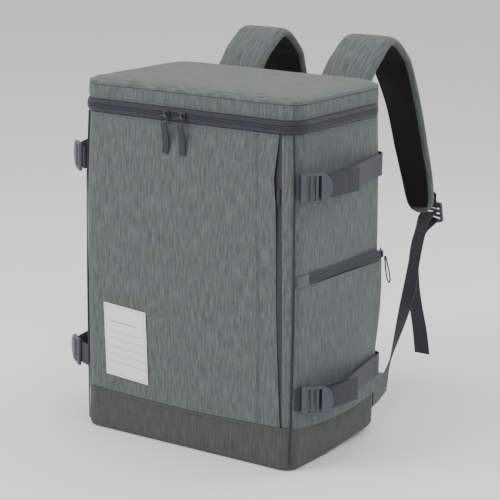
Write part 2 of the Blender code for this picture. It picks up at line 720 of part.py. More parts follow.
def make_side_pocket():
    """Pocket on the right side, its zip, end patch, slider and cord pull."""
    layer = POCKET_LAYER
    low = BASE_SEAM + SEAM_GAP
    zip_top = POCKET_TOP + POCKET_ZIP_HEIGHT
    pocket_start = BODY_CORNER - HALF_DEPTH - BODY_CORNER * pi / 4
    heights = wall_heights(low, POCKET_TOP - SEAM_GAP)

    def swell(run, z):
        back = between(POCKET_SWELL_ALONG, (run - side_run(z, 0.0)) / HALF_DEPTH)
        return POCKET_SWELL * back * between(POCKET_SWELL_UP, z / POCKET_TOP)

    def bulge(run, z):
        y = run - side_run(z, 0.0)
        along = min(max((y + HALF_DEPTH) / (1.72 * HALF_DEPTH), 0.0), 1.0)
        up = (z - low) / (POCKET_TOP - low)
        full = POCKET_BULGE * sin(pi * along ** 1.6) * sin(pi * min(1.0, 0.12 + 0.8 * up)) ** 0.6
        return full + swell(run, z)

    places = side_places(pocket_start + PIPING_WIDTH / 2 + SEAM_GAP, POCKET_BACK)
    columns = [[(side_run(z, y), z) for z in heights] for y in places]
    sheet_on_bag("side_pocket_panel", columns, lambda run, z: SEAM_GAP + layer + bulge(run, z),
                 lambda run, z: SEAM_GAP + bulge(run, z), "body fabric")

    def side_strip(name, start, end, z_low, z_high, inner, outer, material):
        strip = [[(side_run(z, y), z) for z in (z_low, z_high)] for y in side_places(start, end)]
        sheet_on_bag(name, strip, lambda run, z: outer + swell(run, z), lambda run, z: inner + swell(run, z), material)

    tape_face = SEAM_GAP + POCKET_ZIP_LAYER
    side_strip("side_zip_tape", POCKET_ZIP_START, POCKET_ZIP_END, POCKET_TOP, zip_top,
               SEAM_GAP, tape_face, "zip tape")
    middle = POCKET_TOP + POCKET_ZIP_HEIGHT / 2
    half = POCKET_CHAIN_HEIGHT / 2
    chain_face = tape_face + SEAM_GAP + POCKET_CHAIN_LAYER
    slider_start = POCKET_ZIP_END - SIDE_SLIDER_LENGTH - SEAM_GAP
    side_strip("side_zip_chain", POCKET_ZIP_START, slider_start, middle - half, middle + half,
               tape_face + SEAM_GAP, chain_face, "zip tape")
    side_strip("side_zip_patch", POCKET_ZIP_START - PATCH_LENGTH, POCKET_ZIP_START - SEAM_GAP, POCKET_TOP,
               zip_top, SEAM_GAP, tape_face, "body fabric")
    tall = SIDE_SLIDER_HEIGHT / 2
    side_strip("side_zip_slider", slider_start + SEAM_GAP, POCKET_ZIP_END, middle - tall, middle + tall,
               tape_face + SEAM_GAP, tape_face + SIDE_SLIDER_DEPTH, "zip metal")

    hang_run = side_run(middle, POCKET_ZIP_END - SIDE_SLIDER_LENGTH / 2)
    hang = around(hang_run, middle - SIDE_SLIDER_HEIGHT * 0.4, tape_face + SIDE_SLIDER_DEPTH + swell(hang_run, middle) + SEAM_GAP
                  + PULL_CORD * 0.8)
    wide = PULL_CORD_WIDTH / 2
    drop = PULL_CORD_DROP
    rows = []
    for share, reach in ((0.00, 0.30), (0.20, 0.55), (0.50, 0.95), (0.75, 1.0), (0.92, 0.75)):
        rows.append((hang.x, hang.y - wide * reach, hang.z - drop * share))
    rows.append((hang.x, hang.y, hang.z - drop))
    rows += [(x, 2 * hang.y - y, z) for x, y, z in reversed(rows[:-1])]
    lean = PULL_CORD_SLANT / drop
    rows = [(x + (hang.z - z) * lean, y + (hang.z - z) * lean, z) for x, y, z in rows]
    curve = bpy.data.curves.new("side_pull_cord", "CURVE")
    curve.dimensions = "3D"
    curve.bevel_depth = PULL_CORD / 2
    curve.bevel_resolution = 2
    curve.use_fill_caps = True
    spline = curve.splines.new("POLY")
    route = smooth_run(rows, 3)
    spline.points.add(len(route) - 1)
    for point, spot in zip(spline.points, route):
        point.co = (*spot, 1.0)
    curve.materials.append(finish("webbing"))
    cord = bpy.data.objects.new("side_pull_cord", curve)
    bpy.context.scene.collection.objects.link(cord)


def ladder_lock(name, height, length):
    """Ladder lock lying in XZ: thick bar at x 0, two ribs between three slots, and a round end."""
    half = height / 2
    start = -LOCK_BAR / 2
    plate_start = start + LOCK_BAR + 3 * LOCK_SLOT + 2 * LOCK_RIB
    end = start + length
    rim = [(start, -half), (plate_start, -half)]
    round_steps = 6
    for step in range(1, round_steps):
        angle = -pi / 2 + pi * step / round_steps
        rim.append((plate_start + (end - plate_start) * cos(angle), half * sin(angle)))
    rim += [(plate_start, half), (start, half)]
    sections = [[Vector((x, y, z)) for x, z in rim] for y in (-LOCK_DEPTH / 2, LOCK_DEPTH / 2)]
    lock = solid_through(name, sections, "lock plastic")
    cutters = []
    for index in range(3):
        middle = start + LOCK_BAR + LOCK_SLOT / 2 + index * (LOCK_SLOT + LOCK_RIB)
        cutter = block("slot", (LOCK_SLOT, LOCK_DEPTH * 3, height - 2 * LOCK_RIM), "lock plastic")
        move(cutter, Matrix.Translation((middle, 0.0, 0.0)))
        cutters.append(cutter)
    combine(lock, cutters, "DIFFERENCE")
    return lock


def stand_off(y, side):
    """Place of a shoulder strap's point behind the bag, on its own side's reach."""
    root = PAD_RUN[0][1]
    return root + (y - root) * STRAP_REACH[side]


def mirror_rows(rows, side):
    """Rows of a route for the right side, turned over for the left one and moved to its reach."""
    turned = []
    for row in rows:
        values = list(row)
        values[0] *= side
        values[1] = stand_off(values[1], side)
        if len(values) > 4:
            values[5] *= side
            values[6] *= side
        turned.append(tuple(values))
    return turned


def make_side_straps():
    """Compression straps: anchor, ladder lock, strap and stitched tail, two on each side."""
    for name, side, height, bar_out, bar_y, turn, slack in SIDE_STRAPS:
        angle = radians(turn)
        along = Vector((side * sin(angle), cos(angle), 0.0))
        out = Vector((side * cos(angle), -sin(angle), 0.0))
        over_pocket = side > 0 and height < POCKET_TOP
        under = POCKET_LAYER + SEAM_GAP if over_pocket else 0.0
        half_width = body_size(height)[0] + under
        bar = Vector((side * (half_width + bar_out), bar_y, height))

        def row(point, share=1.0):
            return (point.x, point.y, point.z, share, 0.0, 0.0, 1.0)

        lock = ladder_lock("lock_" + name, LOCK_HEIGHT, LOCK_LENGTH)
        frame = Matrix((along, out, Vector((0.0, 0.0, 1.0)))).transposed().to_4x4()
        move(lock, Matrix.Translation(bar) @ frame)
        behind = out * -(LOCK_DEPTH / 2 + SEAM_GAP + WEBBING_LAYER / 2)

        root = around(corner_run(height, 0.62), height, SEAM_GAP * 2 + WEBBING_LAYER / 2 + under)
        root.x *= side
        anchor_end = bar + behind * 1.05 + along * LOCK_BAR * 0.4
        anchor_entry = bar + behind * 1.15 - along * LOCK_BAR * 0.9
        anchor = [row(root), row(anchor_entry), row(anchor_end)]
        band("anchor_" + name, anchor, WEBBING_WIDTH, WEBBING_LAYER, "webbing", steps=2)

        tail_start = bar + behind + along * LOCK_LENGTH * 0.55
        tail = [row(tail_start)]
        for share, distance in TAIL_RUN:
            tail.append(row(Vector((side * (half_width + distance * slack), share * BODY_DEPTH, height))))
        band("tail_" + name, tail, WEBBING_WIDTH, WEBBING_LAYER, "webbing", steps=3)

        strap_start = bar + behind * 2.1 + along * LOCK_LENGTH * 0.48
        strap = [row(strap_start)]
        for share, distance in STRAP_RUN:
            strap.append(row(Vector((side * (half_width + distance * slack), share * BODY_DEPTH, height))))
        ease = SEAM_GAP + WEBBING_LAYER
        _, half_depth, corner = body_size(height)
        landing = 2 * SEAM_GAP + WEBBING_LAYER / 2
        for share, rise in ((0.45, 2.2 * ease + under), (0.75, 1.2 * ease), (0.96, landing)):
            wrap = around(side_run(height, half_depth - corner + corner * pi / 2 * share), height, rise)
            strap.append(row(Vector((side * wrap.x, wrap.y, height))))
        band("strap_" + name, strap, WEBBING_WIDTH, WEBBING_LAYER, "webbing", steps=3)


def yaw_rows(rows):
    """Rows with a turn of the width about the vertical, given its direction instead."""
    return [(x, y, z, share, cos(radians(turn)), sin(radians(turn)), 0.0) for x, y, z, share, turn in rows]


def make_shoulder_straps():
    """Padded shoulder straps, their mesh lining, locks, lower straps and wings, one set on each side."""
    rounded = ((-0.5, -0.18), (-0.44, -0.5), (0.44, -0.5), (0.5, -0.18), (0.5, 0.18), (0.44, 0.5), (-0.44, 0.5),
               (-0.5, 0.18))
    for name, side in (("right", 1), ("left", -1)):
        pad_rows = mirror_rows(yaw_rows(PAD_RUN), side)
        band("shoulder_pad_" + name, pad_rows, PAD_WIDTH, PAD_THICKNESS, "body fabric", steps=3, shape=rounded)
        lining_rows = [(*row[:3], row[3] - 2 * LINING_MARGIN / PAD_WIDTH, *row[4:]) for row in pad_rows[:-2]]
        band("pad_lining_" + name, lining_rows, PAD_WIDTH, LINING_LAYER, "strap mesh", steps=3,
             offset=-(PAD_THICKNESS + LINING_LAYER) / 2 - SEAM_GAP)

        x, y, z = STRAP_LOCK_PLACE
        tip_y = PAD_RUN[-1][1]
        shift = stand_off(tip_y, side) - tip_y
        lock = ladder_lock("strap_lock_" + name, STRAP_LOCK_HEIGHT, STRAP_LOCK_LENGTH)
        centre = Matrix.Translation((-(STRAP_LOCK_LENGTH - LOCK_BAR) / 2, 0.0, 0.0))
        upright = Matrix.Rotation(radians(90.0), 4, "Y")
        lean = Matrix.Rotation(radians(STRAP_LOCK_LEAN), 4, "X")
        turn = Matrix.Rotation(radians(STRAP_LOCK_TURN) * side, 4, "Z")
        frame = Matrix.Translation((side * x, y + shift, z)) @ turn @ lean @ upright
        move(lock, frame @ centre)
        bar = frame @ Vector((-(STRAP_LOCK_LENGTH - LOCK_BAR) / 2, 0.0, 0.0))
        normal = (frame.to_3x3() @ Vector((0.0, 1.0, 0.0))).normalized()
        drop = (frame.to_3x3() @ Vector((1.0, 0.0, 0.0))).normalized()
        wide = tuple((frame.to_3x3() @ Vector((0.0, 0.0, 1.0))).normalized())
        near = normal * -(LOCK_DEPTH / 2 + SEAM_GAP + WEBBING_LAYER / 2)

        seat = pad_rows[-3]
        seat_place = Vector(seat[:3]) + Vector((0.0, (PAD_THICKNESS + WEBBING_LAYER) / 2 + 3 * SEAM_GAP, 0.012))
        loop_end = bar + near * 1.15 + drop * LOCK_BAR * 0.45
        loop_entry = bar + near * 1.3 - drop * LOCK_BAR
        loop_mid = (seat_place + loop_entry) / 2 + Vector((0.0, LOOP_STAND, 0.0))
        flat = Vector(seat[4:7])
        half_way = flat.lerp(Vector(wide), 0.4)
        loop = [(*seat_place, 1.0, *flat), (*loop_mid, 1.0, *half_way), (*loop_entry, 1.0, *wide),
                (*loop_end, 1.0, *wide)]
        band("end_loop_" + name, loop, WEBBING_WIDTH, WEBBING_LAYER, "webbing", steps=2)

        lower = mirror_rows([(*row[:3], 1.0, *row[3:]) for row in ADJUSTER_RUN], side)
        lower_start = bar + near * 2.1 + drop * STRAP_LOCK_LENGTH * 0.34
        lower.insert(0, (*lower_start, 1.0, *wide))
        band("lower_strap_" + name, lower, WEBBING_WIDTH * 0.9, WEBBING_LAYER, "webbing", steps=BAND_STEPS)
        loose_rows = yaw_rows([(*row[:3], 1.0, row[3]) for row in LOOSE_RUN])
        loose = mirror_rows(loose_rows, side)
        for distance, reach in ((1.90, 0.74), (1.27, 0.56)):
            loose_start = bar + near * distance + drop * STRAP_LOCK_LENGTH * reach
            loose.insert(0, (*loose_start, 1.0, *wide))
        band("loose_end_" + name, loose, WEBBING_WIDTH * 0.9, WEBBING_LAYER, "webbing", steps=2)
        make_wing("strap_wing_" + name, side)


def make_wing(name, side):
    """Triangular fabric tab at the lower back corner, which the lower strap is sewn into."""
    rows = [(row[0], stand_off(row[1], side), *row[2:]) for row in ADJUSTER_RUN]
    before, end = smooth_run(rows, BAND_STEPS)[-2:]
    along = (Vector(end[:3]) - Vector(before[:3])).normalized()
    across = Vector(end[3:])
    across = (across - along * across.dot(along)).normalized()
    out = across.cross(along)
    tip = Vector(end[:3]) + along * SEAM_GAP
    root_z = tip.z - WING_DROP
    root = around(side_run(root_z, POCKET_BACK + WING_LAYER / 2), root_z, SEAM_GAP * 2 + WING_LAYER)
    root.y -= WING_LAYER * 0.70
    up = Vector((0.0, 0.0, 1.0))
    sections = []
    for share, half in WING_SECTIONS:
        middle = root.lerp(tip, share)
        rise = up.lerp(across, share) * (WEBBING_WIDTH * half)
        thick = Vector((1.0, 0.0, 0.0)).lerp(out, share) * (WING_LAYER / 2)
        corners = (middle - thick - rise, middle + thick - rise, middle + thick + rise, middle - thick + rise)
        sections.append([Vector((side * corner.x, corner.y, corner.z)) for corner in corners])
    solid_through(name, sections, "body fabric")


def main():
    """Make the whole bag."""
    clear_scene()
    make_body()
    make_lid()
    make_front()
    make_main_pulls()
    make_side_pocket()
    make_side_straps()
    make_shoulder_straps()


main()
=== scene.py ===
"""Looks of a cooler backpack: heather cloth, zips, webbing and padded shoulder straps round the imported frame.

Metres, +Z up. The front faces -Y and the wearer's back is at +Y.
"""

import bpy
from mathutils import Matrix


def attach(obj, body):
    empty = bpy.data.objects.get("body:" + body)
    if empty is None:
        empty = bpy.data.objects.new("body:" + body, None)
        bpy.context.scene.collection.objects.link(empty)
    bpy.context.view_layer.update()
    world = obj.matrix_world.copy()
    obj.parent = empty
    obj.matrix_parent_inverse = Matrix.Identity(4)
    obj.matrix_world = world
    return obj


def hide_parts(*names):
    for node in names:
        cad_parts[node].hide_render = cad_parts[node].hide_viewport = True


bl_info = {
    "name": "Cooler Backpack",
    "version": (1, 0, 0),
    "blender": (4, 5, 0),
    "location": "View3D > Sidebar > Backpack",
    "description": "Builds the cloth, zips, webbing and padding of a cooler backpack",
    "category": "Object",
}

from math import cos, exp, pi, radians, sin

import bmesh
import bpy
import numpy as np
from mathutils import Matrix, Vector, noise

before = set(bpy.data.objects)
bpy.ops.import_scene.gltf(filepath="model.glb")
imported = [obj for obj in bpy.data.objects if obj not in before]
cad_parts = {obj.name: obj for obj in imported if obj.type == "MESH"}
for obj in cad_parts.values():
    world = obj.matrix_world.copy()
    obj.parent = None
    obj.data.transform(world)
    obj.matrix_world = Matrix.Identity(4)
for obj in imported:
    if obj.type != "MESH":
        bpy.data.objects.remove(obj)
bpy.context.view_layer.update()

# Bag, as the frame has it
BODY_WIDTH = 0.3124
BODY_DEPTH = 0.2002
WALL_HEIGHT = 0.4042
WALL_THICKNESS = 0.006
FLOOR_THICKNESS = 0.006
BODY_BOW = 0.0018
BODY_CORNER = 0.018
BASE_SEAM = 0.0545
BASE_SEAM_DIP = 0.008
BASE_SEAM_SAG = 0.0045
BASE_EDGE = 0.004
BASE_REAR_INSET = 0.020
BASE_REAR_RISE = 0.008
SEAM_GAP = 0.0003
CORNER_EASE_START = 0.80

# Lid and its zip
ZIP_BAND = 0.0165
ZIP_BULGE = 0.0035
CHAIN_HEIGHT = 0.0046
TAPE_DEPTH = 0.0042
LID_SIDE = 0.0208
LID_CROWN = 0.0075
LID_CORNER = 0.024
LID_PANEL = 0.003

# Front pocket
FRONT_LAYER = 0.0030
STRIP_LAYER = 0.0016
POCKET_TAPE = 0.0010
POCKET_FOLD = 0.0119
STRIP_EDGE_TOP = 0.1359
STRIP_EDGE_BASE = 0.1419
FLAP_GAPE = 0.0016
CREASE_TOP = 0.1032
CREASE_BASE = 0.1108

# Label
LABEL_SIZE = (0.0650, 0.0920)
LABEL_PLACE = (-0.0892, 0.1182)
LABEL_TURN = 3.6
LABEL_LEAN = 2.6
LABEL_BORDER = 0.0028
LABEL_RULE = 0.0005
LABEL_PRINT = 0.00012

# Main pulls
SLIDER_SPACING = 0.0235
SLIDER_CENTRE = -0.0122
RING_RADIUS = 0.0048
RING_WIRE = 0.0008
TAB_WIDTH = 0.0092
TAB_LAYER = 0.0016
TAB_LENGTH = 0.036

# Side pocket
POCKET_LAYER = 0.0015
POCKET_BULGE = 0.0045
POCKET_SWELL = 0.0052
POCKET_TOP = 0.2248
POCKET_ZIP_HEIGHT = 0.0136
POCKET_ZIP_LAYER = 0.0012
POCKET_ZIP_START = -0.0710
POCKET_ZIP_END = 0.0960
POCKET_BACK = 0.0985
PATCH_LENGTH = 0.022
SIDE_SLIDER_LENGTH = 0.010
SIDE_SLIDER_HEIGHT = 0.0075
SIDE_SLIDER_DEPTH = 0.0027
PULL_CORD = 0.0018
PULL_CORD_DROP = 0.034
PULL_CORD_WIDTH = 0.0075
PULL_CORD_SLANT = 0.0045
PIPING_WIDTH = 0.0024
PIPING_RISE = 0.0016

# Webbing and locks
WEBBING_WIDTH = 0.028
WEBBING_LAYER = 0.0016
LOCK_LENGTH = 0.038
LOCK_HEIGHT = 0.0345
LOCK_DEPTH = 0.0045
LOCK_BAR = 0.007
LOCK_SLOT = 0.0035
LOCK_RIB = 0.0033
LOCK_RIM = 0.0030

# Shoulder straps and back panel
PAD_WIDTH = 0.071
PAD_THICKNESS = 0.013
LINING_MARGIN = 0.005
BACK_PAD_LAYER = 0.005
BACK_PAD_MARGIN = 0.022
STRAP_LOCK_HEIGHT = 0.036
STRAP_LOCK_LENGTH = 0.030
STRAP_LOCK_PLACE = (0.1100, 0.3180, 0.2395)
STRAP_LOCK_LEAN = 10.0
STRAP_LOCK_TURN = -20.0
LOOP_STAND = 0.0045
STRAP_REACH = {1: 1.0, -1: 0.88}
WING_LAYER = 0.0026
WING_DROP = 0.003

# Edge of the pocket's flap: height as a share of the wall, distance from the middle as a share of the width
FLAP_EDGE = (
    (0.135, 0.4465),
    (0.360, 0.4288),
    (0.560, 0.4187),
    (0.720, 0.4173),
    (0.800, 0.4156),
    (0.872, 0.4072),
    (0.940, 0.4173),
    (1.000, 0.4259),
)

# Crown of the lid: share of its size, share of its rise
LID_SECTIONS = (
    (1.000, 0.00),
    (0.993, 0.20),
    (0.980, 0.36),
    (0.955, 0.50),
    (0.920, 0.62),
    (0.860, 0.75),
    (0.780, 0.86),
    (0.680, 0.93),
    (0.560, 0.97),
    (0.420, 0.99),
    (0.280, 1.00),
    (0.140, 1.00),
)

# Compression straps: name, side, height, distance out and back of the lock's bar, turn of the lock, slack
SIDE_STRAPS = (
    ("upper_right", 1, 0.3445, 0.0080, -0.0951, 40.0, 0.92),
    ("lower_right", 1, 0.0895, 0.0078, -0.0886, 46.0, 1.02),
    ("upper_left", -1, 0.3445, 0.0065, -0.0956, 50.0, 1.12),
    ("lower_left", -1, 0.0895, 0.0175, -0.0876, 54.0, 1.40),
)

# Run of a compression strap and of its tail: place as a share of the depth, distance out from the side
STRAP_RUN = (
    (-0.250, 0.0212),
    (-0.060, 0.0222),
    (0.150, 0.0135),
    (0.350, 0.0052),
    (0.440, 0.0026),
)
TAIL_RUN = (
    (-0.275, 0.0262),
    (-0.165, 0.0290),
    (-0.040, 0.0308),
)

# Swell of the side pocket towards its back edge: along the side, and by height
POCKET_SWELL_ALONG = (
    (0.10, 0.00),
    (0.35, 0.30),
    (0.60, 0.80),
    (0.82, 1.00),
    (1.00, 0.90),
)
POCKET_SWELL_UP = (
    (0.50, 0.00),
    (0.60, 0.40),
    (0.72, 0.85),
    (0.84, 1.00),
    (1.10, 0.75),
)

# Right shoulder pad: x, y, z, share of full width, turn of the width
PAD_RUN = (
    (0.0800, 0.1126, 0.3825, 1.00, 0.0),
    (0.0800, 0.1129, 0.4005, 1.00, 0.0),
    (0.0800, 0.1210, 0.4235, 1.00, 2.0),
    (0.0797, 0.1385, 0.4438, 1.00, 4.0),
    (0.0795, 0.1575, 0.4615, 1.00, 3.0),
    (0.0782, 0.1950, 0.4808, 0.99, 0.0),
    (0.0795, 0.2325, 0.4585, 0.97, -6.0),
    (0.0818, 0.2482, 0.4375, 0.95, -11.0),
    (0.0862, 0.2715, 0.3855, 0.88, -15.0),
    (0.0925, 0.2825, 0.3315, 0.74, -5.0),
    (0.0990, 0.2890, 0.2915, 0.66, 0.0),
    (0.1030, 0.2925, 0.2600, 0.56, 4.0),
    (0.1040, 0.2940, 0.2480, 0.41, 5.0),
    (0.1042, 0.2948, 0.2425, 0.18, 5.0),
)

# Right lower strap: x, y, z, and the direction of its width
ADJUSTER_RUN = (
    (0.1085, 0.2948, 0.2310, 0.86, -0.50, 0.00),
    (0.1100, 0.2785, 0.2060, 0.87, -0.48, 0.00),
    (0.1115, 0.2651, 0.1750, 0.88, -0.46, 0.05),
    (0.1145, 0.2498, 0.1450, 0.92, -0.33, 0.20),
    (0.1185, 0.2308, 0.1200, 0.80, -0.22, 0.45),
    (0.1255, 0.2026, 0.0930, 0.60, -0.20, 0.75),
    (0.1345, 0.1718, 0.0725, 0.35, -0.20, 0.90),
    (0.1450, 0.1440, 0.0600, 0.10, -0.20, 0.97),
    (0.1510, 0.1280, 0.0550, 0.00, -0.25, 0.97),
)

# Loose tail of the right lower strap: x, y, z, turn of the width
LOOSE_RUN = (
    (0.1075, 0.2925, 0.2180, -30.0),
    (0.1055, 0.2842, 0.2040, -30.0),
    (0.1035, 0.2805, 0.1780, -30.0),
    (0.1022, 0.2845, 0.1450, -24.0),
    (0.1022, 0.2925, 0.1120, -16.0),
    (0.1050, 0.3000, 0.0780, -11.0),
    (0.1075, 0.3050, 0.0425, -8.0),
)

# Wing at the lower back corner: share of its length, half height as a share of the webbing's width
WING_SECTIONS = (
    (0.00, 0.80),
    (0.35, 0.76),
    (1.00, 0.48),
)

# Camera of the photograph: turn, height and roll in degrees, distance, focal length in pixels, aim, shift
CAMERA_TURN = 34.1082
CAMERA_HEIGHT = 13.4268
CAMERA_ROLL = 0.6568
CAMERA_DISTANCE = 2.2821
CAMERA_FOCAL = 1830.8327
CAMERA_AIM = (0.0, 0.0, 0.22)
CAMERA_SHIFT = (-0.0226, -0.0105)
FRAME_PIXELS = 500
FLOOR_REACH = 12.0
FLOOR_TONE = 0.90
WORLD_LIGHT = 0.85
SENSOR = 36.0

# Lights: name, place, aim, size, power, colour
LIGHTS = (
    ("key", (-1.10, -1.55, 1.75), (0.0, 0.0, 0.22), 1.3, 34.0, (1.0, 0.99, 0.97)),
    ("fill", (1.70, -0.90, 0.90), (0.0, 0.0, 0.22), 1.4, 7.0, (0.96, 0.98, 1.0)),
    ("top", (0.1, 0.25, 1.90), (0.0, 0.0, 0.30), 1.0, 12.0, (1.0, 1.0, 1.0)),
    ("rim", (0.9, 1.50, 1.10), (0.0, 0.1, 0.25), 0.9, 8.0, (0.97, 0.98, 1.0)),
)

# Step of the map where a ring of cloth closes on itself
RING_CLOSE = 0.004

HALF_WIDTH = BODY_WIDTH / 2
HALF_DEPTH = BODY_DEPTH / 2
LID_BASE = WALL_HEIGHT + ZIP_BAND
LID_SEAM = LID_BASE + LID_SIDE
FRONT = -HALF_DEPTH


class BagSizes(bpy.types.PropertyGroup):
    """Sizes of the sewn and moulded detail."""

    stitch_pitch: bpy.props.FloatProperty(
        name="Stitch pitch", description="Distance between two stitches", default=0.0034, unit="LENGTH")
    stitch_length: bpy.props.FloatProperty(
        name="Stitch length", description="Length of one stitch", default=0.0022, unit="LENGTH")
    thread: bpy.props.FloatProperty(
        name="Thread", description="Thickness of the sewing thread", default=0.0006, unit="LENGTH")
    tooth_pitch: bpy.props.FloatProperty(
        name="Tooth pitch", description="Distance between two turns of the zip's coil", default=0.0014,
        unit="LENGTH")
    tooth_width: bpy.props.FloatProperty(
        name="Tooth width", description="Width of one turn of the zip's coil", default=0.0009,
        unit="LENGTH")
    pucker: bpy.props.FloatProperty(
        name="Pucker", description="Height of the gathers beside the seams", default=0.0008, unit="LENGTH")
    sag: bpy.props.FloatProperty(
        name="Sag", description="Unevenness of the padded cloth", default=0.0009, unit="LENGTH")
    lock_bevel: bpy.props.FloatProperty(
        name="Lock edge", description="Rounding of the moulded locks", default=0.0007, unit="LENGTH")


def colour_property(name, description, default):
    """Colour setting with the usual limits."""
    return bpy.props.FloatVectorProperty(name=name, description=description, default=default,
                                         subtype="COLOR",
                                         min=0.0, max=1.0)


class BagColours(bpy.types.PropertyGroup):
    """Colours of the finishes, as linear values."""

    body: colour_property("Body cloth", "Heather cloth of the body, lid and straps", (0.094, 0.108, 0.106))
    base: colour_property("Base cloth", "Heather cloth of the base", (0.062, 0.071, 0.066))
    webbing: colour_property("Webbing", "Woven straps", (0.026, 0.029, 0.038))
    tape: colour_property("Zip tape", "Zip tapes and piping", (0.021, 0.024, 0.034))
    metal: colour_property("Zip metal", "Sliders and rings", (0.060, 0.062, 0.070))
    plastic: colour_property("Lock plastic", "Moulded ladder locks", (0.052, 0.057, 0.075))
    mesh: colour_property("Strap mesh", "Spacer mesh inside the shoulder straps", (0.006, 0.006, 0.0065))
    label: colour_property("Label", "Printed label", (0.80, 0.80, 0.79))


def between(table, value):
    """Straight-line reading of a two-column table at one value of its first column."""
    if value <= table[0][0]:
        return table[0][1]
    for (low, low_value), (high, high_value) in zip(table, table[1:]):
        if value <= high:
            return low_value + (high_value - low_value) * (value - low) / (high - low)
    return table[-1][1]


def smooth_run(rows, steps):
    """Points on a smooth curve through the rows of a table, every column read alike."""
    points = []
    for index in range(len(rows) - 1):
        before = rows[max(index - 1, 0)]
        after = rows[min(index + 2, len(rows) - 1)]
        for step in range(steps):
            t = step / steps
            points.append(tuple(
                0.5 * (2 * b + (c - a) * t + (2 * a - 5 * b + 4 * c - d) * t ** 2
                       + (3 * b - a - 3 * c + d) * t ** 3)
                for a, b, c, d in zip(before, rows[index], rows[index + 1], after)))
    points.append(tuple(rows[-1]))
    return points


def spaced(low, high, count):
    """Evenly spaced values from low to high."""
    return [low + (high - low) * step / (count - 1) for step in range(count)]


def hump(value, middle, width):
    """Smooth hump of height one round a middle."""
    return exp(-((value - middle) / width) ** 2)


def body_size(z):
    """Half width, half depth and corner radius of the bag's outline at one height."""
    share = min(max(z / WALL_HEIGHT, 0.0), 1.0)
    half_x = HALF_WIDTH + BODY_BOW * sin(pi * share)
    blend = max(0.0, (share - CORNER_EASE_START) / (1.0 - CORNER_EASE_START))
    return half_x, HALF_DEPTH, BODY_CORNER + (LID_CORNER - BODY_CORNER) * blend


def around(run, z, offset=0.0):
    """Point on the bag's outline, by its distance round from the middle of the front, right side first."""
    half_x, half_y, radius = body_size(z)
    side = -1.0 if run < 0 else 1.0
    left = abs(run)
    flat_x = half_x - radius
    flat_y = half_y - radius
    turn = radius * pi / 2
    reach = radius + offset
    if left <= flat_x:
        x, y = left, -flat_y - reach
    elif left <= flat_x + turn:
        angle = (left - flat_x) / radius
        x, y = flat_x + reach * sin(angle), -flat_y - reach * cos(angle)
    elif left <= flat_x + turn + 2 * flat_y:
        x, y = flat_x + reach, left - flat_x - turn - flat_y
    elif left <= flat_x + 2 * turn + 2 * flat_y:
        angle = (left - flat_x - turn - 2 * flat_y) / radius
        x, y = flat_x + reach * cos(angle), flat_y + reach * sin(angle)
    else:
        x, y = flat_x - (left - flat_x - 2 * turn - 2 * flat_y), flat_y + reach
    return Vector((side * x, y, z))


def corner_run(z, share):
    """Distance round to a front corner: share 0 where the front ends, 1 where the side starts."""
    half_x, _, radius = body_size(z)
    return half_x - radius + share * radius * pi / 2


def side_run(z, y):
    """Distance round to a place on the side, y measured along it and on round the corners."""
    _, half_y, radius = body_size(z)
    return corner_run(z, 1.0) + (half_y - radius) + y


def half_runs(z, part="whole"):
    """Distances round the right half of the outline, from the middle of the front."""
    half_x, half_y, radius = body_size(z)
    flat_x = half_x - radius
    turn = radius * pi / 2
    side_end = flat_x + turn + 2 * (half_y - radius)
    front = spaced(0.0, flat_x, 34) + spaced(flat_x, flat_x + turn, 13)[1:]
    side = spaced(flat_x + turn, side_end, 40)[1:]
    back = spaced(side_end, side_end + turn, 11) + spaced(side_end + turn, side_end + turn + flat_x, 26)[1:]
    if part == "zipped":
        return front + side[:-1] + [side_end - SEAM_GAP]
    if part == "hinged":
        return back
    return front + side + back[1:]


def loop_runs(z, part="whole"):
    """Distances round the whole outline, or round its zipped or hinged part, left to right."""
    right = half_runs(z, part)
    if part == "hinged":
        return right + [-run for run in reversed(right[:-1])]
    left = [-run for run in reversed(right[1:])]
    return left[1:] + right if part == "whole" else left + right


def seam_height(point):
    """Height of the seam round the base."""
    edge = max(0.0, (abs(point.x) - (HALF_WIDTH - BODY_CORNER)) / BODY_CORNER)
    dip = BASE_SEAM_DIP * min(edge, 1.0) * max(0.0, cos(pi * point.y / BODY_DEPTH))
    sag = BASE_SEAM_SAG * max(0.0, cos(pi * point.x / BODY_WIDTH))
    return BASE_SEAM - dip - sag


def flap_edge(z):
    """Distance of the pocket flap's edge from the middle of the front."""
    return BODY_WIDTH * between(FLAP_EDGE, z / WALL_HEIGHT)


def strip_edge(z):
    """Distance of the corner strip's edge from the middle of the front."""
    share = (z - BASE_SEAM) / (WALL_HEIGHT - BASE_SEAM)
    return STRIP_EDGE_BASE + (STRIP_EDGE_TOP - STRIP_EDGE_BASE) * share


def crease(z):
    """Distance of the stitched crease in the pocket panel from the middle of the front."""
    return CREASE_BASE + (CREASE_TOP - CREASE_BASE) * (z - BASE_SEAM) / (WALL_HEIGHT - BASE_SEAM)


def swell(run, z):
    """How far the side pocket stands out towards its back edge."""
    back = between(POCKET_SWELL_ALONG, (run - side_run(z, 0.0)) / HALF_DEPTH)
    return POCKET_SWELL * back * between(POCKET_SWELL_UP, z / POCKET_TOP)


def pocket_bulge(run, z):
    """How far the side pocket's panel stands out."""
    low = BASE_SEAM + SEAM_GAP
    y = run - side_run(z, 0.0)
    along = min(max((y + HALF_DEPTH) / (1.72 * HALF_DEPTH), 0.0), 1.0)
    up = (z - low) / (POCKET_TOP - low)
    full = POCKET_BULGE * sin(pi * along ** 1.6) * sin(pi * min(1.0, max(0.0, 0.12 + 0.8 * up))) ** 0.6
    return full + swell(run, z)


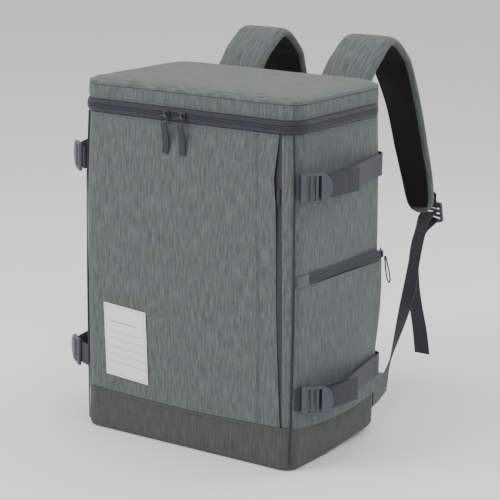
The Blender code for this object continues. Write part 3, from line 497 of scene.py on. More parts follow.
def relief(run, z, sizes):
    """Unevenness of the padded cloth: a slow sag everywhere and short gathers beside the seams."""
    slow = noise.noise(Vector((run * 11.0, z * 9.0, 3.0)))
    gather = noise.noise(Vector((run * 150.0, z * 22.0, 8.0)))
    near_zip = exp(-max(0.0, WALL_HEIGHT - z) / 0.020)
    near_base = exp(-max(0.0, z - BASE_SEAM) / 0.010)
    right_corner = 0.35 + 0.65 * min(1.0, max(0.0, (run + 0.02) / 0.12))
    return sizes.sag * slow + sizes.pucker * gather * (near_zip * right_corner + 0.35 * near_base)


def loft(name, sections, material, ring=False, along=None, sharp=40.0):
    """Closed solid through matching closed sections, with a map of metres along it and round it."""
    points = np.array([[tuple(point) for point in section] for section in sections])
    rows, count = points.shape[:2]
    middle = points.mean(axis=1)
    if along is None:
        steps = np.linalg.norm(np.diff(middle, axis=0), axis=1)
        along = np.concatenate([[0.0], np.cumsum(steps)])
        if ring:
            along = np.append(along, along[-1] + np.linalg.norm(middle[0] - middle[-1]))
    turns = np.linalg.norm(np.roll(points, -1, axis=1) - points, axis=2).mean(axis=0)
    across = np.concatenate([[0.0], np.cumsum(turns)])
    faces = []
    corners = []
    for row in range(rows if ring else rows - 1):
        after = (row + 1) % rows
        for side in range(count):
            following = (side + 1) % count
            faces.append((row * count + side, row * count + following, after * count + following,
                          after * count + side))
            corners += [(along[row], across[side]), (along[row], across[side + 1]),
                        (along[row + 1], across[side + 1]), (along[row + 1], across[side])]
    if not ring:
        for row in (0, rows - 1):
            for side in range((count + 1) // 2 - 1):
                quad = [side, side + 1, count - 2 - side, count - 1 - side]
                if quad[1] == quad[2]:
                    quad.pop(2)
                faces.append(tuple(row * count + place for place in quad))
                corners += [(along[row], across[place]) for place in quad]
    return make_piece(name, points.reshape(-1, 3), faces, corners, material, sharp)


def make_piece(name, points, faces, corners, material, sharp=40.0):
    """Mesh object from points and faces with outward normals and a metre map."""
    mesh = bpy.data.meshes.new(name)
    mesh.from_pydata([tuple(point) for point in points], [], faces)
    layer = mesh.uv_layers.new(name="metres")
    layer.data.foreach_set("uv", np.array(corners, dtype=float).ravel())
    build = bmesh.new()
    build.from_mesh(mesh)
    bmesh.ops.recalc_face_normals(build, faces=build.faces)
    build.to_mesh(mesh)
    build.free()
    mesh.shade_smooth()
    mesh.set_sharp_from_angle(angle=radians(sharp))
    mesh.materials.append(material)
    piece = bpy.data.objects.new(name, mesh)
    bpy.context.scene.collection.objects.link(piece)
    return piece


def stack(name, loops, material):
    """Closed solid from a stack of matching loops, its first and last loop closed to a middle point."""
    loops = [np.array([tuple(point) for point in loop]) for loop in loops]
    count = len(loops[0])
    points = [loops[0].mean(axis=0)] + [point for loop in loops for point in loop] + [loops[-1].mean(axis=0)]
    widest = loops[len(loops) // 2]
    steps = np.linalg.norm(np.diff(np.vstack([widest, widest[:1]]), axis=0),
                           axis=1)
    across = np.concatenate([[0.0], np.cumsum(steps)])
    rises = [np.linalg.norm(after - before, axis=1).mean() for before, after in zip(loops, loops[1:])]
    along = np.concatenate([[0.0], np.cumsum(rises)])
    last = len(points) - 1
    faces = []
    corners = []
    for row in range(len(loops) - 1):
        for side in range(count):
            following = (side + 1) % count
            start = 1 + row * count
            faces.append((start + side, start + following, start + count + following, start + count + side))
            corners += [(across[side], along[row]), (across[side + 1], along[row]),
                        (across[side + 1], along[row + 1]), (across[side], along[row + 1])]
    for pole, start, height in ((0, 1, along[0]), (last, 1 + (len(loops) - 1) * count, along[-1])):
        for side in range(count):
            faces.append((pole, start + side, start + (side + 1) % count))
            corners += [(across[side], height), (across[side], height), (across[side + 1], height)]
    return make_piece(name, points, faces, corners, material)


def planar_map(piece):
    """Give a flat-lying piece a map of metres seen from above."""
    layer = piece.data.uv_layers["metres"]
    for loop in piece.data.loops:
        spot = piece.data.vertices[loop.vertex_index].co
        layer.data[loop.index].uv = (spot.x, spot.y)


def wear(piece, slot, *nodes):
    """Hand a finished piece to the frame: parent it to the root and hide the parts that it stands for. The slot
    is not used.
    """
    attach(piece, "root")
    if nodes:
        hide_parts(*nodes)
    return piece


def apply_modifiers(piece):
    """Bake a piece's modifiers into its mesh."""
    depsgraph = bpy.context.evaluated_depsgraph_get()
    mesh = bpy.data.meshes.new_from_object(piece.evaluated_get(depsgraph))
    piece.modifiers.clear()
    piece.data = mesh
    return piece


def join_pieces(name, pieces):
    """One mesh object out of several, materials kept."""
    build = bmesh.new()
    materials = []
    for piece in pieces:
        start = len(build.faces)
        build.from_mesh(piece.data)
        build.faces.ensure_lookup_table()
        places = []
        for material in piece.data.materials:
            if material not in materials:
                materials.append(material)
            places.append(materials.index(material))
        for face in build.faces[start:]:
            face.material_index = places[face.material_index] if places else 0
    mesh = bpy.data.meshes.new(name)
    build.to_mesh(mesh)
    build.free()
    for material in materials:
        mesh.materials.append(material)
    for piece in pieces:
        bpy.data.objects.remove(piece, do_unlink=True)
    joined = bpy.data.objects.new(name, mesh)
    bpy.context.scene.collection.objects.link(joined)
    return joined


def band_sections(rows, width, layer, steps, offset=0.0, ripple=0.0):
    """Sections of a flat woven band, its rows x, y, z, share of width and the width's direction."""
    profile = [(-0.5, 0.0), (-0.488, -0.40), (-0.45, -0.5), (-0.25, -0.5), (0.0, -0.5), (0.25, -0.5),
               (0.45, -0.5),
               (0.488, -0.40), (0.5, 0.0), (0.488, 0.40), (0.45, 0.5), (0.25, 0.5), (0.0, 0.5),
               (-0.25, 0.5),
               (-0.45, 0.5), (-0.488, 0.40)]
    route = smooth_run(rows, steps)
    places = [Vector(row[:3]) for row in route]
    sections = []
    for index, row in enumerate(route):
        along = (places[min(index + 1, len(places) - 1)] - places[max(index - 1, 0)]).normalized()
        across = Vector(row[4:7])
        across = (across - along * across.dot(along)).normalized()
        out = across.cross(along)
        middle = places[index] + out * offset
        wave = ripple * noise.noise(places[index] * 60.0)
        sections.append([middle + across * (a * width * row[3]) + out * (b * layer + wave) for a,
                         b in profile])
    return sections


def tube_sections(points, radius, sides=10):
    """Sections of a round cord along points."""
    places = [Vector(point) for point in points]
    sections = []
    normal = None
    for index, place in enumerate(places):
        along = (places[min(index + 1, len(places) - 1)] - places[max(index - 1, 0)]).normalized()
        if normal is None:
            normal = along.orthogonal().normalized()
        normal = (normal - along * normal.dot(along)).normalized()
        side = along.cross(normal)
        angles = [2 * pi * step / sides for step in range(sides)]
        sections.append([place + (normal * cos(angle) + side * sin(angle)) * radius for angle in angles])
    return sections


def rounded_block(name, size, material, edge):
    """Moulded block centred on the origin with rounded edges."""
    build = bmesh.new()
    bmesh.ops.create_cube(build, size=1.0)
    bmesh.ops.scale(build, vec=Vector(size), verts=build.verts)
    bmesh.ops.bevel(build, geom=build.edges[:], offset=edge, segments=3, profile=0.6, affect="EDGES")
    mesh = bpy.data.meshes.new(name)
    build.to_mesh(mesh)
    build.free()
    mesh.uv_layers.new(name="metres")
    mesh.shade_smooth()
    mesh.set_sharp_from_angle(angle=radians(50.0))
    mesh.materials.append(material)
    block = bpy.data.objects.new(name, mesh)
    bpy.context.scene.collection.objects.link(block)
    return block


def put(piece, matrix):
    """Bake a place into a piece's mesh."""
    piece.data.transform(matrix)
    if matrix.determinant() < 0:
        piece.data.flip_normals()
    return piece


def shader_tree(name):
    """Fresh material: its node tree and its shader."""
    material = bpy.data.materials.new(name)
    material.use_nodes = True
    tree = material.node_tree
    return material, tree, tree.nodes["Principled BSDF"]


def add_node(tree, kind, settings=(), **inputs):
    """Node with its settings and its sockets' values or links."""
    node = tree.nodes.new(kind)
    for key, value in dict(settings).items():
        setattr(node, key, value)
    for key, value in inputs.items():
        numbered = key[0] == "i" and key[1:].isdigit()
        socket = node.inputs[int(key[1:])] if numbered else node.inputs[key.replace("_", " ")]
        if isinstance(value, bpy.types.NodeSocket):
            tree.links.new(value, socket)
        else:
            socket.default_value = value
    return node


def metre_map(tree, scale):
    """The piece's own map of metres, stretched by a scale along and across."""
    source = add_node(tree, "ShaderNodeUVMap", {"uv_map": "metres"})
    return add_node(tree, "ShaderNodeMapping", Vector=source.outputs[0], Scale=(*scale, 1.0)).outputs[0]


def ramp(tree, factor, stops):
    """Colour ramp through stops of place and grey value."""
    node = add_node(tree, "ShaderNodeValToRGB", Fac=factor)
    elements = node.color_ramp.elements
    elements[0].position, elements[-1].position = stops[0][0], stops[-1][0]
    for element, (_, value) in zip((elements[0], elements[-1]), (stops[0], stops[-1])):
        element.color = (value, value, value, 1.0)
    for place, value in stops[1:-1]:
        elements.new(place).color = (value, value, value, 1.0)
    return node.outputs[0]


def blend_colours(tree, factor, low, high):
    """Mix of two colours by a factor."""
    mix = add_node(tree, "ShaderNodeMix", {"data_type": "RGBA"})
    tree.links.new(factor, mix.inputs["Factor"])
    mix.inputs[6].default_value = (*low, 1.0)
    mix.inputs[7].default_value = (*high, 1.0)
    return mix.outputs[2]


def scaled(colour, factor):
    """Colour made lighter or darker."""
    return tuple(min(1.0, value * factor) for value in colour)


def sum_of(tree, first, second, share):
    """First value plus a share of the second one."""
    return add_node(tree, "ShaderNodeMath", {"operation": "MULTIPLY_ADD"}, i0=second, i1=share,
                    i2=first).outputs[0]


def heather_cloth(name, colour, upright=True, contrast=1.0):
    """Melange polyester: uneven pale and dark yarns running up the panel over a fine plain weave."""
    material, tree, shader = shader_tree(name)
    long_way = (420.0, 46.0) if upright else (46.0, 420.0)
    slub = add_node(tree, "ShaderNodeTexNoise", Vector=metre_map(tree, long_way), Scale=1.0, Detail=3.0,
                    Roughness=0.62)
    fleck_way = (1250.0, 620.0) if upright else (620.0, 1250.0)
    fleck = add_node(tree, "ShaderNodeTexNoise", Vector=metre_map(tree, fleck_way), Scale=1.0, Detail=2.0,
                     Roughness=0.6)
    yarns = sum_of(tree, slub.outputs[0], fleck.outputs[0], 0.62)
    mottle = ramp(tree, yarns, ((0.52, 0.0), (0.80, 0.5), (1.10, 1.0)))
    pale = blend_colours(tree, mottle, scaled(colour, 1.0 - 0.42 * contrast),
                         scaled(colour, 1.0 + 0.48 * contrast))
    tree.links.new(pale, shader.inputs["Base Color"])
    weft = add_node(tree, "ShaderNodeTexWave", {"bands_direction": "X"}, Vector=metre_map(tree, (1.0, 1.0)),
                    Scale=420.0,
                    Distortion=1.2, Detail=1.0)
    warp = add_node(tree, "ShaderNodeTexWave", {"bands_direction": "Y"}, Vector=metre_map(tree, (1.0, 1.0)),
                    Scale=420.0,
                    Distortion=1.2, Detail=1.0)
    weave = add_node(tree, "ShaderNodeMath", {"operation": "MAXIMUM"}, i0=weft.outputs[1],
                     i1=warp.outputs[1])
    height = sum_of(tree, weave.outputs[0], yarns, 1.3)
    bump = add_node(tree, "ShaderNodeBump", Height=height, Strength=0.55, Distance=0.00035)
    tree.links.new(bump.outputs[0], shader.inputs["Normal"])
    shader.inputs["Roughness"].default_value = 0.92
    shader.inputs["Sheen Weight"].default_value = 0.12
    shader.inputs["Sheen Roughness"].default_value = 0.45
    shader.inputs["Specular IOR Level"].default_value = 0.25
    return material


def woven_band(name, colour, rib_along, rib_across, roughness=0.72):
    """Webbing or zip tape: ribs across the band and rows of yarn along it."""
    material, tree, shader = shader_tree(name)
    ribs = add_node(tree, "ShaderNodeTexWave", {"bands_direction": "X", "wave_profile": "SIN"},
                    Vector=metre_map(tree, (1.0, 1.0)), Scale=rib_along, Distortion=0.6, Detail=1.0)
    rows = add_node(tree, "ShaderNodeTexWave", {"bands_direction": "Y", "wave_profile": "SIN"},
                    Vector=metre_map(tree, (1.0, 1.0)), Scale=rib_across, Distortion=0.3)
    fuzz = add_node(tree, "ShaderNodeTexNoise", Vector=metre_map(tree, (700.0, 700.0)), Scale=1.0,
                    Detail=2.0)
    height = sum_of(tree, rows.outputs[1], ribs.outputs[1], 0.8)
    tone = sum_of(tree, height, fuzz.outputs[0], 0.9)
    shade = ramp(tree, tone, ((0.30, 0.0), (1.0, 0.45), (2.1, 1.0)))
    cloth = blend_colours(tree, shade, scaled(colour, 0.62), scaled(colour, 1.5))
    tree.links.new(cloth, shader.inputs["Base Color"])
    bump = add_node(tree, "ShaderNodeBump", Height=height, Strength=0.5, Distance=0.0003)
    tree.links.new(bump.outputs[0], shader.inputs["Normal"])
    shader.inputs["Roughness"].default_value = roughness
    shader.inputs["Sheen Weight"].default_value = 0.10
    shader.inputs["Specular IOR Level"].default_value = 0.35
    return material


def moulded_plastic(name, colour, roughness, grain):
    """Satin moulded plastic with a fine spark grain and faint handling marks."""
    material, tree, shader = shader_tree(name)
    coords = add_node(tree, "ShaderNodeTexCoord")
    fine = add_node(tree, "ShaderNodeTexNoise", Vector=coords.outputs["Object"], Scale=2600.0, Detail=2.0)
    broad = add_node(tree, "ShaderNodeTexNoise", Vector=coords.outputs["Object"], Scale=90.0, Detail=3.0)
    tree.links.new(blend_colours(tree, broad.outputs[0], scaled(colour, 0.85), scaled(colour, 1.18)),
                   shader.inputs["Base Color"])
    rough = add_node(tree, "ShaderNodeMapRange", Value=broad.outputs[0], To_Min=roughness - 0.07,
                     To_Max=roughness + 0.09)
    tree.links.new(rough.outputs[0], shader.inputs["Roughness"])
    bump = add_node(tree, "ShaderNodeBump", Height=fine.outputs[0], Strength=grain, Distance=0.0001)
    tree.links.new(bump.outputs[0], shader.inputs["Normal"])
    return material


def dark_metal(name, colour):
    """Gunmetal plating with soft wear on it."""
    material = moulded_plastic(name, colour, 0.34, 0.2)
    material.node_tree.nodes["Principled BSDF"].inputs["Metallic"].default_value = 0.85
    return material


def spacer_mesh(name, colour):
    """Black spacer mesh: small round holes in staggered rows."""
    material, tree, shader = shader_tree(name)
    holes = add_node(tree, "ShaderNodeTexVoronoi", {"feature": "F1"},
                     Vector=metre_map(tree, (480.0, 480.0)), Scale=1.0,
                     Randomness=0.25)
    web = ramp(tree, holes.outputs[0], ((0.18, 0.0), (0.42, 1.0)))
    tree.links.new(blend_colours(tree, web, scaled(colour, 0.45), scaled(colour, 2.0)),
                   shader.inputs["Base Color"])
    bump = add_node(tree, "ShaderNodeBump", Height=web, Strength=0.6, Distance=0.0005)
    tree.links.new(bump.outputs[0], shader.inputs["Normal"])
    shader.inputs["Roughness"].default_value = 0.88
    shader.inputs["Specular IOR Level"].default_value = 0.2
    return material


def printed_card(name, colour):
    """Coated label stock with a faint fibre."""
    material, tree, shader = shader_tree(name)
    coords = add_node(tree, "ShaderNodeTexCoord")
    fibre = add_node(tree, "ShaderNodeTexNoise", Vector=coords.outputs["Object"], Scale=900.0, Detail=3.0)
    tree.links.new(blend_colours(tree, fibre.outputs[0], scaled(colour, 0.93), scaled(colour, 1.04)),
                   shader.inputs["Base Color"])
    shader.inputs["Roughness"].default_value = 0.55
    return material


def make_materials(colours):
    """Every finish of the bag, by name."""
    thread = scaled(colours.body, 0.55)
    return {
        "body": heather_cloth("heather_cloth", colours.body),
        # The lid takes the body cloth made 6% lighter: painted light from above on the lid's top.
        "lid": heather_cloth("lid_cloth_painted_light", scaled(colours.body, 1.06), upright=False),
        "wrap": heather_cloth("wrap_cloth", scaled(colours.body, 0.95), upright=False),
        "base": heather_cloth("base_cloth", colours.base, contrast=0.75),
        "webbing": woven_band("strap_webbing", colours.webbing, 190.0, 330.0),
        "tape": woven_band("zip_tape_weave", colours.tape, 420.0, 300.0, 0.66),
        "coil": moulded_plastic("zip_coil", scaled(colours.tape, 1.5), 0.42, 0.1),
        "metal": dark_metal("gunmetal", colours.metal),
        "plastic": moulded_plastic("lock_plastic", colours.plastic, 0.42, 0.25),
        "rubber": moulded_plastic("pull_rubber", scaled(colours.webbing, 0.6), 0.50, 0.3),
        "mesh": spacer_mesh("spacer_mesh", colours.mesh),
        "label": printed_card("label_card", colours.label),
        "print": printed_card("label_print", scaled(colours.label, 0.42)),
        "thread": moulded_plastic("sewing_thread", thread, 0.7, 0.2),
        "seam": woven_band("seam_binding", scaled(colours.tape, 0.8), 300.0, 300.0),
    }


def build_nodes(name):
    """Empty geometry node tree with a curve coming in and a mesh going out."""
    tree = bpy.data.node_groups.new(name, "GeometryNodeTree")
    tree.interface.new_socket("Geometry", in_out="INPUT", socket_type="NodeSocketGeometry")
    tree.interface.new_socket("Geometry", in_out="OUTPUT", socket_type="NodeSocketGeometry")
    return tree


def size_input(tree, name, default):
    """Named length input of a geometry node tree."""
    socket = tree.interface.new_socket(name, in_out="INPUT", socket_type="NodeSocketFloat")
    socket.subtype = "DISTANCE"
    socket.default_value = default
    return socket


def row_tree(name, block=False):
    """Tree that lays short threads, or coil turns with a block section, along a curve."""
    tree = build_nodes(name)
    size_input(tree, "Pitch", 0.003)
    size_input(tree, "Length", 0.002)
    size_input(tree, "Width", 0.0006)
    size_input(tree, "Depth", 0.0006)
    tree.interface.new_socket("Finish", in_out="INPUT", socket_type="NodeSocketMaterial")
    source = tree.nodes.new("NodeGroupInput")
    outputs = source.outputs
    spread = add_node(tree, "GeometryNodeResampleCurve", {"mode": "LENGTH"}, Curve=outputs["Geometry"],
                      Length=outputs["Pitch"])
    if block:
        size = add_node(tree, "ShaderNodeCombineXYZ", X=outputs["Width"], Y=outputs["Depth"],
                        Z=outputs["Length"])
        shape = add_node(tree, "GeometryNodeMeshCube", Size=size.outputs[0]).outputs[0]
    else:
        rod = add_node(tree, "GeometryNodeMeshUVSphere", Segments=6, Rings=5)
        rod.inputs["Radius"].default_value = 0.5
        size = add_node(tree, "ShaderNodeCombineXYZ", X=outputs["Length"], Y=outputs["Width"],
                        Z=outputs["Depth"])
        shape = add_node(tree, "GeometryNodeTransform", Geometry=rod.outputs[0],
                         Scale=size.outputs[0]).outputs[0]
    tangent = add_node(tree, "GeometryNodeInputTangent")
    turn = add_node(tree, "FunctionNodeAlignRotationToVector", {"axis": "X"}, Vector=tangent.outputs[0])
    placed = add_node(tree, "GeometryNodeInstanceOnPoints", Points=spread.outputs[0], Instance=shape,
                      Rotation=turn.outputs[0])
    real = add_node(tree, "GeometryNodeRealizeInstances", Geometry=placed.outputs[0])
    finish = add_node(tree, "GeometryNodeSetMaterial", Geometry=real.outputs[0], Material=outputs["Finish"])
    target = tree.nodes.new("NodeGroupOutput")
    tree.links.new(finish.outputs[0], target.inputs[0])
    return tree


def lay_row(name, tree, routes, values, material):
    """Mesh of the tree's small pieces along one or more routes of points."""
    curve = bpy.data.curves.new(name, "CURVE")
    curve.dimensions = "3D"
    for route in routes:
        spline = curve.splines.new("POLY")
        spline.points.add(len(route) - 1)
        for point, spot in zip(spline.points, route):
            point.co = (*spot, 1.0)
    guide = bpy.data.objects.new(name + "_guide", curve)
    bpy.context.scene.collection.objects.link(guide)
    modifier = guide.modifiers.new("row", "NODES")
    modifier.node_group = tree
    for socket in tree.interface.items_tree:
        if socket.in_out == "INPUT" and socket.name in values:
            modifier[socket.identifier] = values[socket.name]
        elif socket.in_out == "INPUT" and socket.name == "Finish":
            modifier[socket.identifier] = material
    depsgraph = bpy.context.evaluated_depsgraph_get()
    mesh = bpy.data.meshes.new_from_object(guide.evaluated_get(depsgraph))
    mesh.name = name
    bpy.data.objects.remove(guide, do_unlink=True)
    if not mesh.polygons:
        raise RuntimeError(f"{name} came out empty")
    mesh.shade_smooth()
    row = bpy.data.objects.new(name, mesh)
    bpy.context.scene.collection.objects.link(row)
    return row


def finishes():
    """The bag's materials, made once."""
    if "made" not in FINISHES:
        FINISHES["made"] = make_materials(bpy.context.scene.bag_colours)
    return FINISHES["made"]


FINISHES = {}


def stitch(name, routes, slot="body_fabric", lift=1.0):
    """Row or rows of stitches laid on the bag."""
    sizes = bpy.context.scene.bag_sizes
    if "stitch row" not in bpy.data.node_groups:
        row_tree("stitch row")
    values = {"Pitch": sizes.stitch_pitch, "Length": sizes.stitch_length, "Width": sizes.thread * lift,
              "Depth": sizes.thread * lift}
    row = lay_row(name, bpy.data.node_groups["stitch row"], routes, values, finishes()["thread"])
    return wear(row, slot)


def coil(name, routes, height, depth, node):
    """Turns of a zip's coil along its two edges."""
    sizes = bpy.context.scene.bag_sizes
    if "coil row" not in bpy.data.node_groups:
        row_tree("coil row", block=True)
    values = {"Pitch": sizes.tooth_pitch, "Length": height, "Width": sizes.tooth_width, "Depth": depth}
    row = lay_row(name, bpy.data.node_groups["coil row"], routes, values, finishes()["coil"])
    return wear(row, "zip_tape", node)


class BACKPACK_OT_stage(bpy.types.Operator):
    """Pale floor, soft studio lights and the photograph's camera."""

    bl_idname = "backpack.stage"
    bl_label = "Stage"

    def execute(self, context):
        scene = context.scene
        turn, height, roll = radians(CAMERA_TURN), radians(CAMERA_HEIGHT), radians(CAMERA_ROLL)
        back = Vector((sin(turn) * cos(height), -cos(turn) * cos(height), sin(height)))
        right = Vector((cos(turn), sin(turn), 0.0))
        up = back.cross(right)
        level = right * cos(roll) + up * sin(roll)
        upright = right * -sin(roll) + up * cos(roll)
        shift = level * CAMERA_SHIFT[0] + upright * CAMERA_SHIFT[1]
        place = Vector(CAMERA_AIM) + back * CAMERA_DISTANCE - shift
        data = bpy.data.cameras.new("camera")
        data.lens = CAMERA_FOCAL / FRAME_PIXELS * SENSOR
        data.sensor_width = SENSOR
        camera = bpy.data.objects.new("camera", data)
        matrix = Matrix((level, upright, back)).transposed().to_4x4()
        matrix.translation = place
        camera.matrix_world = matrix
        scene.collection.objects.link(camera)
        scene.camera = camera

        floor_material, _, shader = shader_tree("studio_floor")
        shader.inputs["Base Color"].default_value = (FLOOR_TONE, FLOOR_TONE, FLOOR_TONE, 1.0)
        shader.inputs["Roughness"].default_value = 0.9
        mesh = bpy.data.meshes.new("floor")
        corners = [(x * FLOOR_REACH, y * FLOOR_REACH, 0.0) for x, y in ((-1, -1), (1, -1), (1, 1), (-1, 1))]
        mesh.from_pydata(corners, [], [(0, 1, 2, 3)])
        mesh.materials.append(floor_material)
        floor = bpy.data.objects.new("floor", mesh)
        scene.collection.objects.link(floor)

        for name, spot, aim, size, power, colour in LIGHTS:
            lamp = bpy.data.lights.new(name, "AREA")
            lamp.size = size
            lamp.energy = power
            lamp.color = colour
            light = bpy.data.objects.new(name, lamp)
            light.location = spot
            light.rotation_euler = (Vector(aim) - Vector(spot)).to_track_quat("-Z", "Y").to_euler()
            scene.collection.objects.link(light)

        world = bpy.data.worlds.new("studio")
        world.use_nodes = True
        world.node_tree.nodes["Background"].inputs[0].default_value = (1.0, 1.0, 1.0, 1.0)
        world.node_tree.nodes["Background"].inputs[1].default_value = WORLD_LIGHT
        scene.world = world
        return {"FINISHED"}


class BACKPACK_OT_body(bpy.types.Operator):
    """Padded wall, base cup, back panel and corner piping."""

    bl_idname = "backpack.body"
    bl_label = "Body"

    def execute(self, context):
        sizes = context.scene.bag_sizes
        materials = finishes()
        self.wall(sizes, materials)
        self.base(sizes, materials)
        self.back_panel(materials)
        self.piping(materials)
        return {"FINISHED"}

    def wall(self, sizes, materials):
        """Wall of the bag, its front set back under the pocket layer."""
        shares = [step / 56 for step in range(57)]

        def side_columns(side):
            columns = []
            reference = half_runs(WALL_HEIGHT / 2)
            corner = corner_run(WALL_HEIGHT / 2, 0.5)
            last = max(index for index, run in enumerate(reference) if run <= corner + 1e-6)
            order = [(index, True) for index in range(last + 1)] + [(index, False) for index in
                                                                    range(last, len(reference))]
            for index, recessed in order:
                outer, inner = [], []
                foot = seam_height(around(reference[index], BASE_SEAM))
                for share in shares:
                    z = foot + (WALL_HEIGHT - foot) * share
                    run = half_runs(z)[index]
                    recess = FRONT_LAYER + SEAM_GAP if recessed else 0.0
                    bump = 0.0 if recessed else relief(side * run, z, sizes)
                    point = around(run, z, bump - recess)
                    deep = around(run, z, -recess - WALL_THICKNESS)
                    outer.append((side * point.x, point.y, z))
                    inner.append((side * deep.x, deep.y, z))
                columns.append((side * reference[index], outer + inner[::-1]))
            return columns

        right = side_columns(1)
        left = side_columns(-1)
        columns = left[1:-1][::-1] + right
        along = [run for run, _ in columns]
        along.append(along[-1] + RING_CLOSE)
        piece = loft("padded_wall", [section for _, section in columns], materials["body"], ring=True,
                     along=along)
        wear(piece, "body_fabric", "main_body")

    def base(self, sizes, materials):
        """Cup of darker cloth with a rounded lower edge."""

        def rear_share(y):
            return min(1.0, max(0.0, (y + HALF_DEPTH * 0.2) / (HALF_DEPTH * 1.2)))

        def base_loop(z, depth, inset=0.0, rise=0.0, rough=0.0, to_seam=0.0):
            loop = []
            for run in loop_runs(BASE_SEAM):
                bump = rough * noise.noise(Vector((run * 30.0, z * 30.0, 5.0)))
                point = around(run, z, bump - depth)
                rear = rear_share(point.y)
                narrow = 1.0 - BASE_REAR_INSET * inset * rear / HALF_WIDTH
                shallow = 1.0 - BASE_REAR_INSET * inset * rear / HALF_DEPTH
                height = z + BASE_REAR_RISE * rise * rear
                height += to_seam * (seam_height(point) - SEAM_GAP - height)
                loop.append((point.x * narrow, point.y * shallow, height))
            return loop

        loops = [base_loop(0.0, BASE_EDGE * 3.0, 1.0), base_loop(0.0, BASE_EDGE, 1.0),
                 base_loop(BASE_EDGE * 0.14, BASE_EDGE * 0.60, 0.66, 0.15),
                 base_loop(BASE_EDGE * 0.42, BASE_EDGE * 0.28, 0.32, 0.40),
                 base_loop(BASE_EDGE * 0.85, BASE_EDGE * 0.08, 0.12, 0.70),
                 base_loop(BASE_EDGE * 1.4, 0.0, 0.0, 1.0)]
        for share in spaced(0.08, 1.0, 18):
            low = BASE_EDGE * 1.4
            z = low + (BASE_SEAM - low) * share
            tuck = 0.0006 * max(0.0, share - 0.90) / 0.10
            loops.append(base_loop(z, tuck, 0.0, 1.0 - share, sizes.sag * 0.8, share))
        loops.append(base_loop(BASE_SEAM, WALL_THICKNESS, to_seam=1.0))
        loops.append(base_loop(FLOOR_THICKNESS * 2, WALL_THICKNESS, 0.0, 0.8))
        loops.append(base_loop(FLOOR_THICKNESS, WALL_THICKNESS + BASE_EDGE * 0.5, 0.6))
        piece = stack("base_cup_cloth", loops, materials["base"])
        wear(piece, "base_fabric", "base_cup")
        below = [around(run, 0, 0.0006) for run in loop_runs(BASE_SEAM)]
        route = [(p.x, p.y, seam_height(p) - 0.0052) for p in below[len(below) // 4:3 * len(below) // 4]]
        stitch("base_stitches", [route], "base_fabric")

    def back_panel(self, materials):
        """Padded back panel of spacer mesh with pressed channels."""
        low = BASE_SEAM + BACK_PAD_MARGIN
        high = WALL_HEIGHT - BACK_PAD_MARGIN / 2
        half = HALF_WIDTH - BACK_PAD_MARGIN
        start = HALF_DEPTH + SEAM_GAP
        sections = []
        for x in spaced(-half, half, 90):
            face, back = [], []
            for z in spaced(low, high, 90):
                edge = min(half - abs(x), z - low, high - z)
                full = min(1.0, edge / 0.010) ** 0.5 if edge > 0 else 0.0
                channel = 0.45 * max(hump(x, -0.042, 0.004), hump(x, 0.042, 0.004), hump(z, 0.17, 0.004),
                                     hump(z, 0.28, 0.004))
                face.append((x, start + 0.0008 + (BACK_PAD_LAYER - 0.0008) * full * (1.0 - channel), z))
                back.append((x, start, z))
            sections.append(face + back[::-1])
        piece = loft("back_panel_mesh", sections, materials["mesh"])
        wear(piece, "strap_mesh", "back_pad")

    def piping(self, materials):
        """Dark piping down both front corners, over the body and the base."""
        for name, side in (("right", 1), ("left", -1)):
            sections = []
            for z in spaced(BASE_EDGE * 2, WALL_HEIGHT - SEAM_GAP, 70):
                run = corner_run(z, 0.5)
                centre = around(run, z, SEAM_GAP)
                out = (around(run, z, 0.01) - around(run, z)).normalized()
                across = Vector((-out.y, out.x, 0.0))
                wobble = 0.0002 * noise.noise(Vector((z * 160.0, side * 4.0, 0.0)))
                section = [centre + across * -PIPING_WIDTH / 2, centre + across * PIPING_WIDTH / 2]
                for angle in (25, 60, 90, 120, 155):
                    section.append(centre + across * (PIPING_WIDTH / 2 * cos(radians(angle)) + wobble)
                                   + out * PIPING_RISE * sin(radians(angle)))
                sections.append([(side * p.x, p.y, p.z) for p in section])
            piece = loft("corner_piping_cloth_" + name, sections, materials["seam"], sharp=70.0)
            wear(piece, "zip_tape", "corner_piping_" + name)


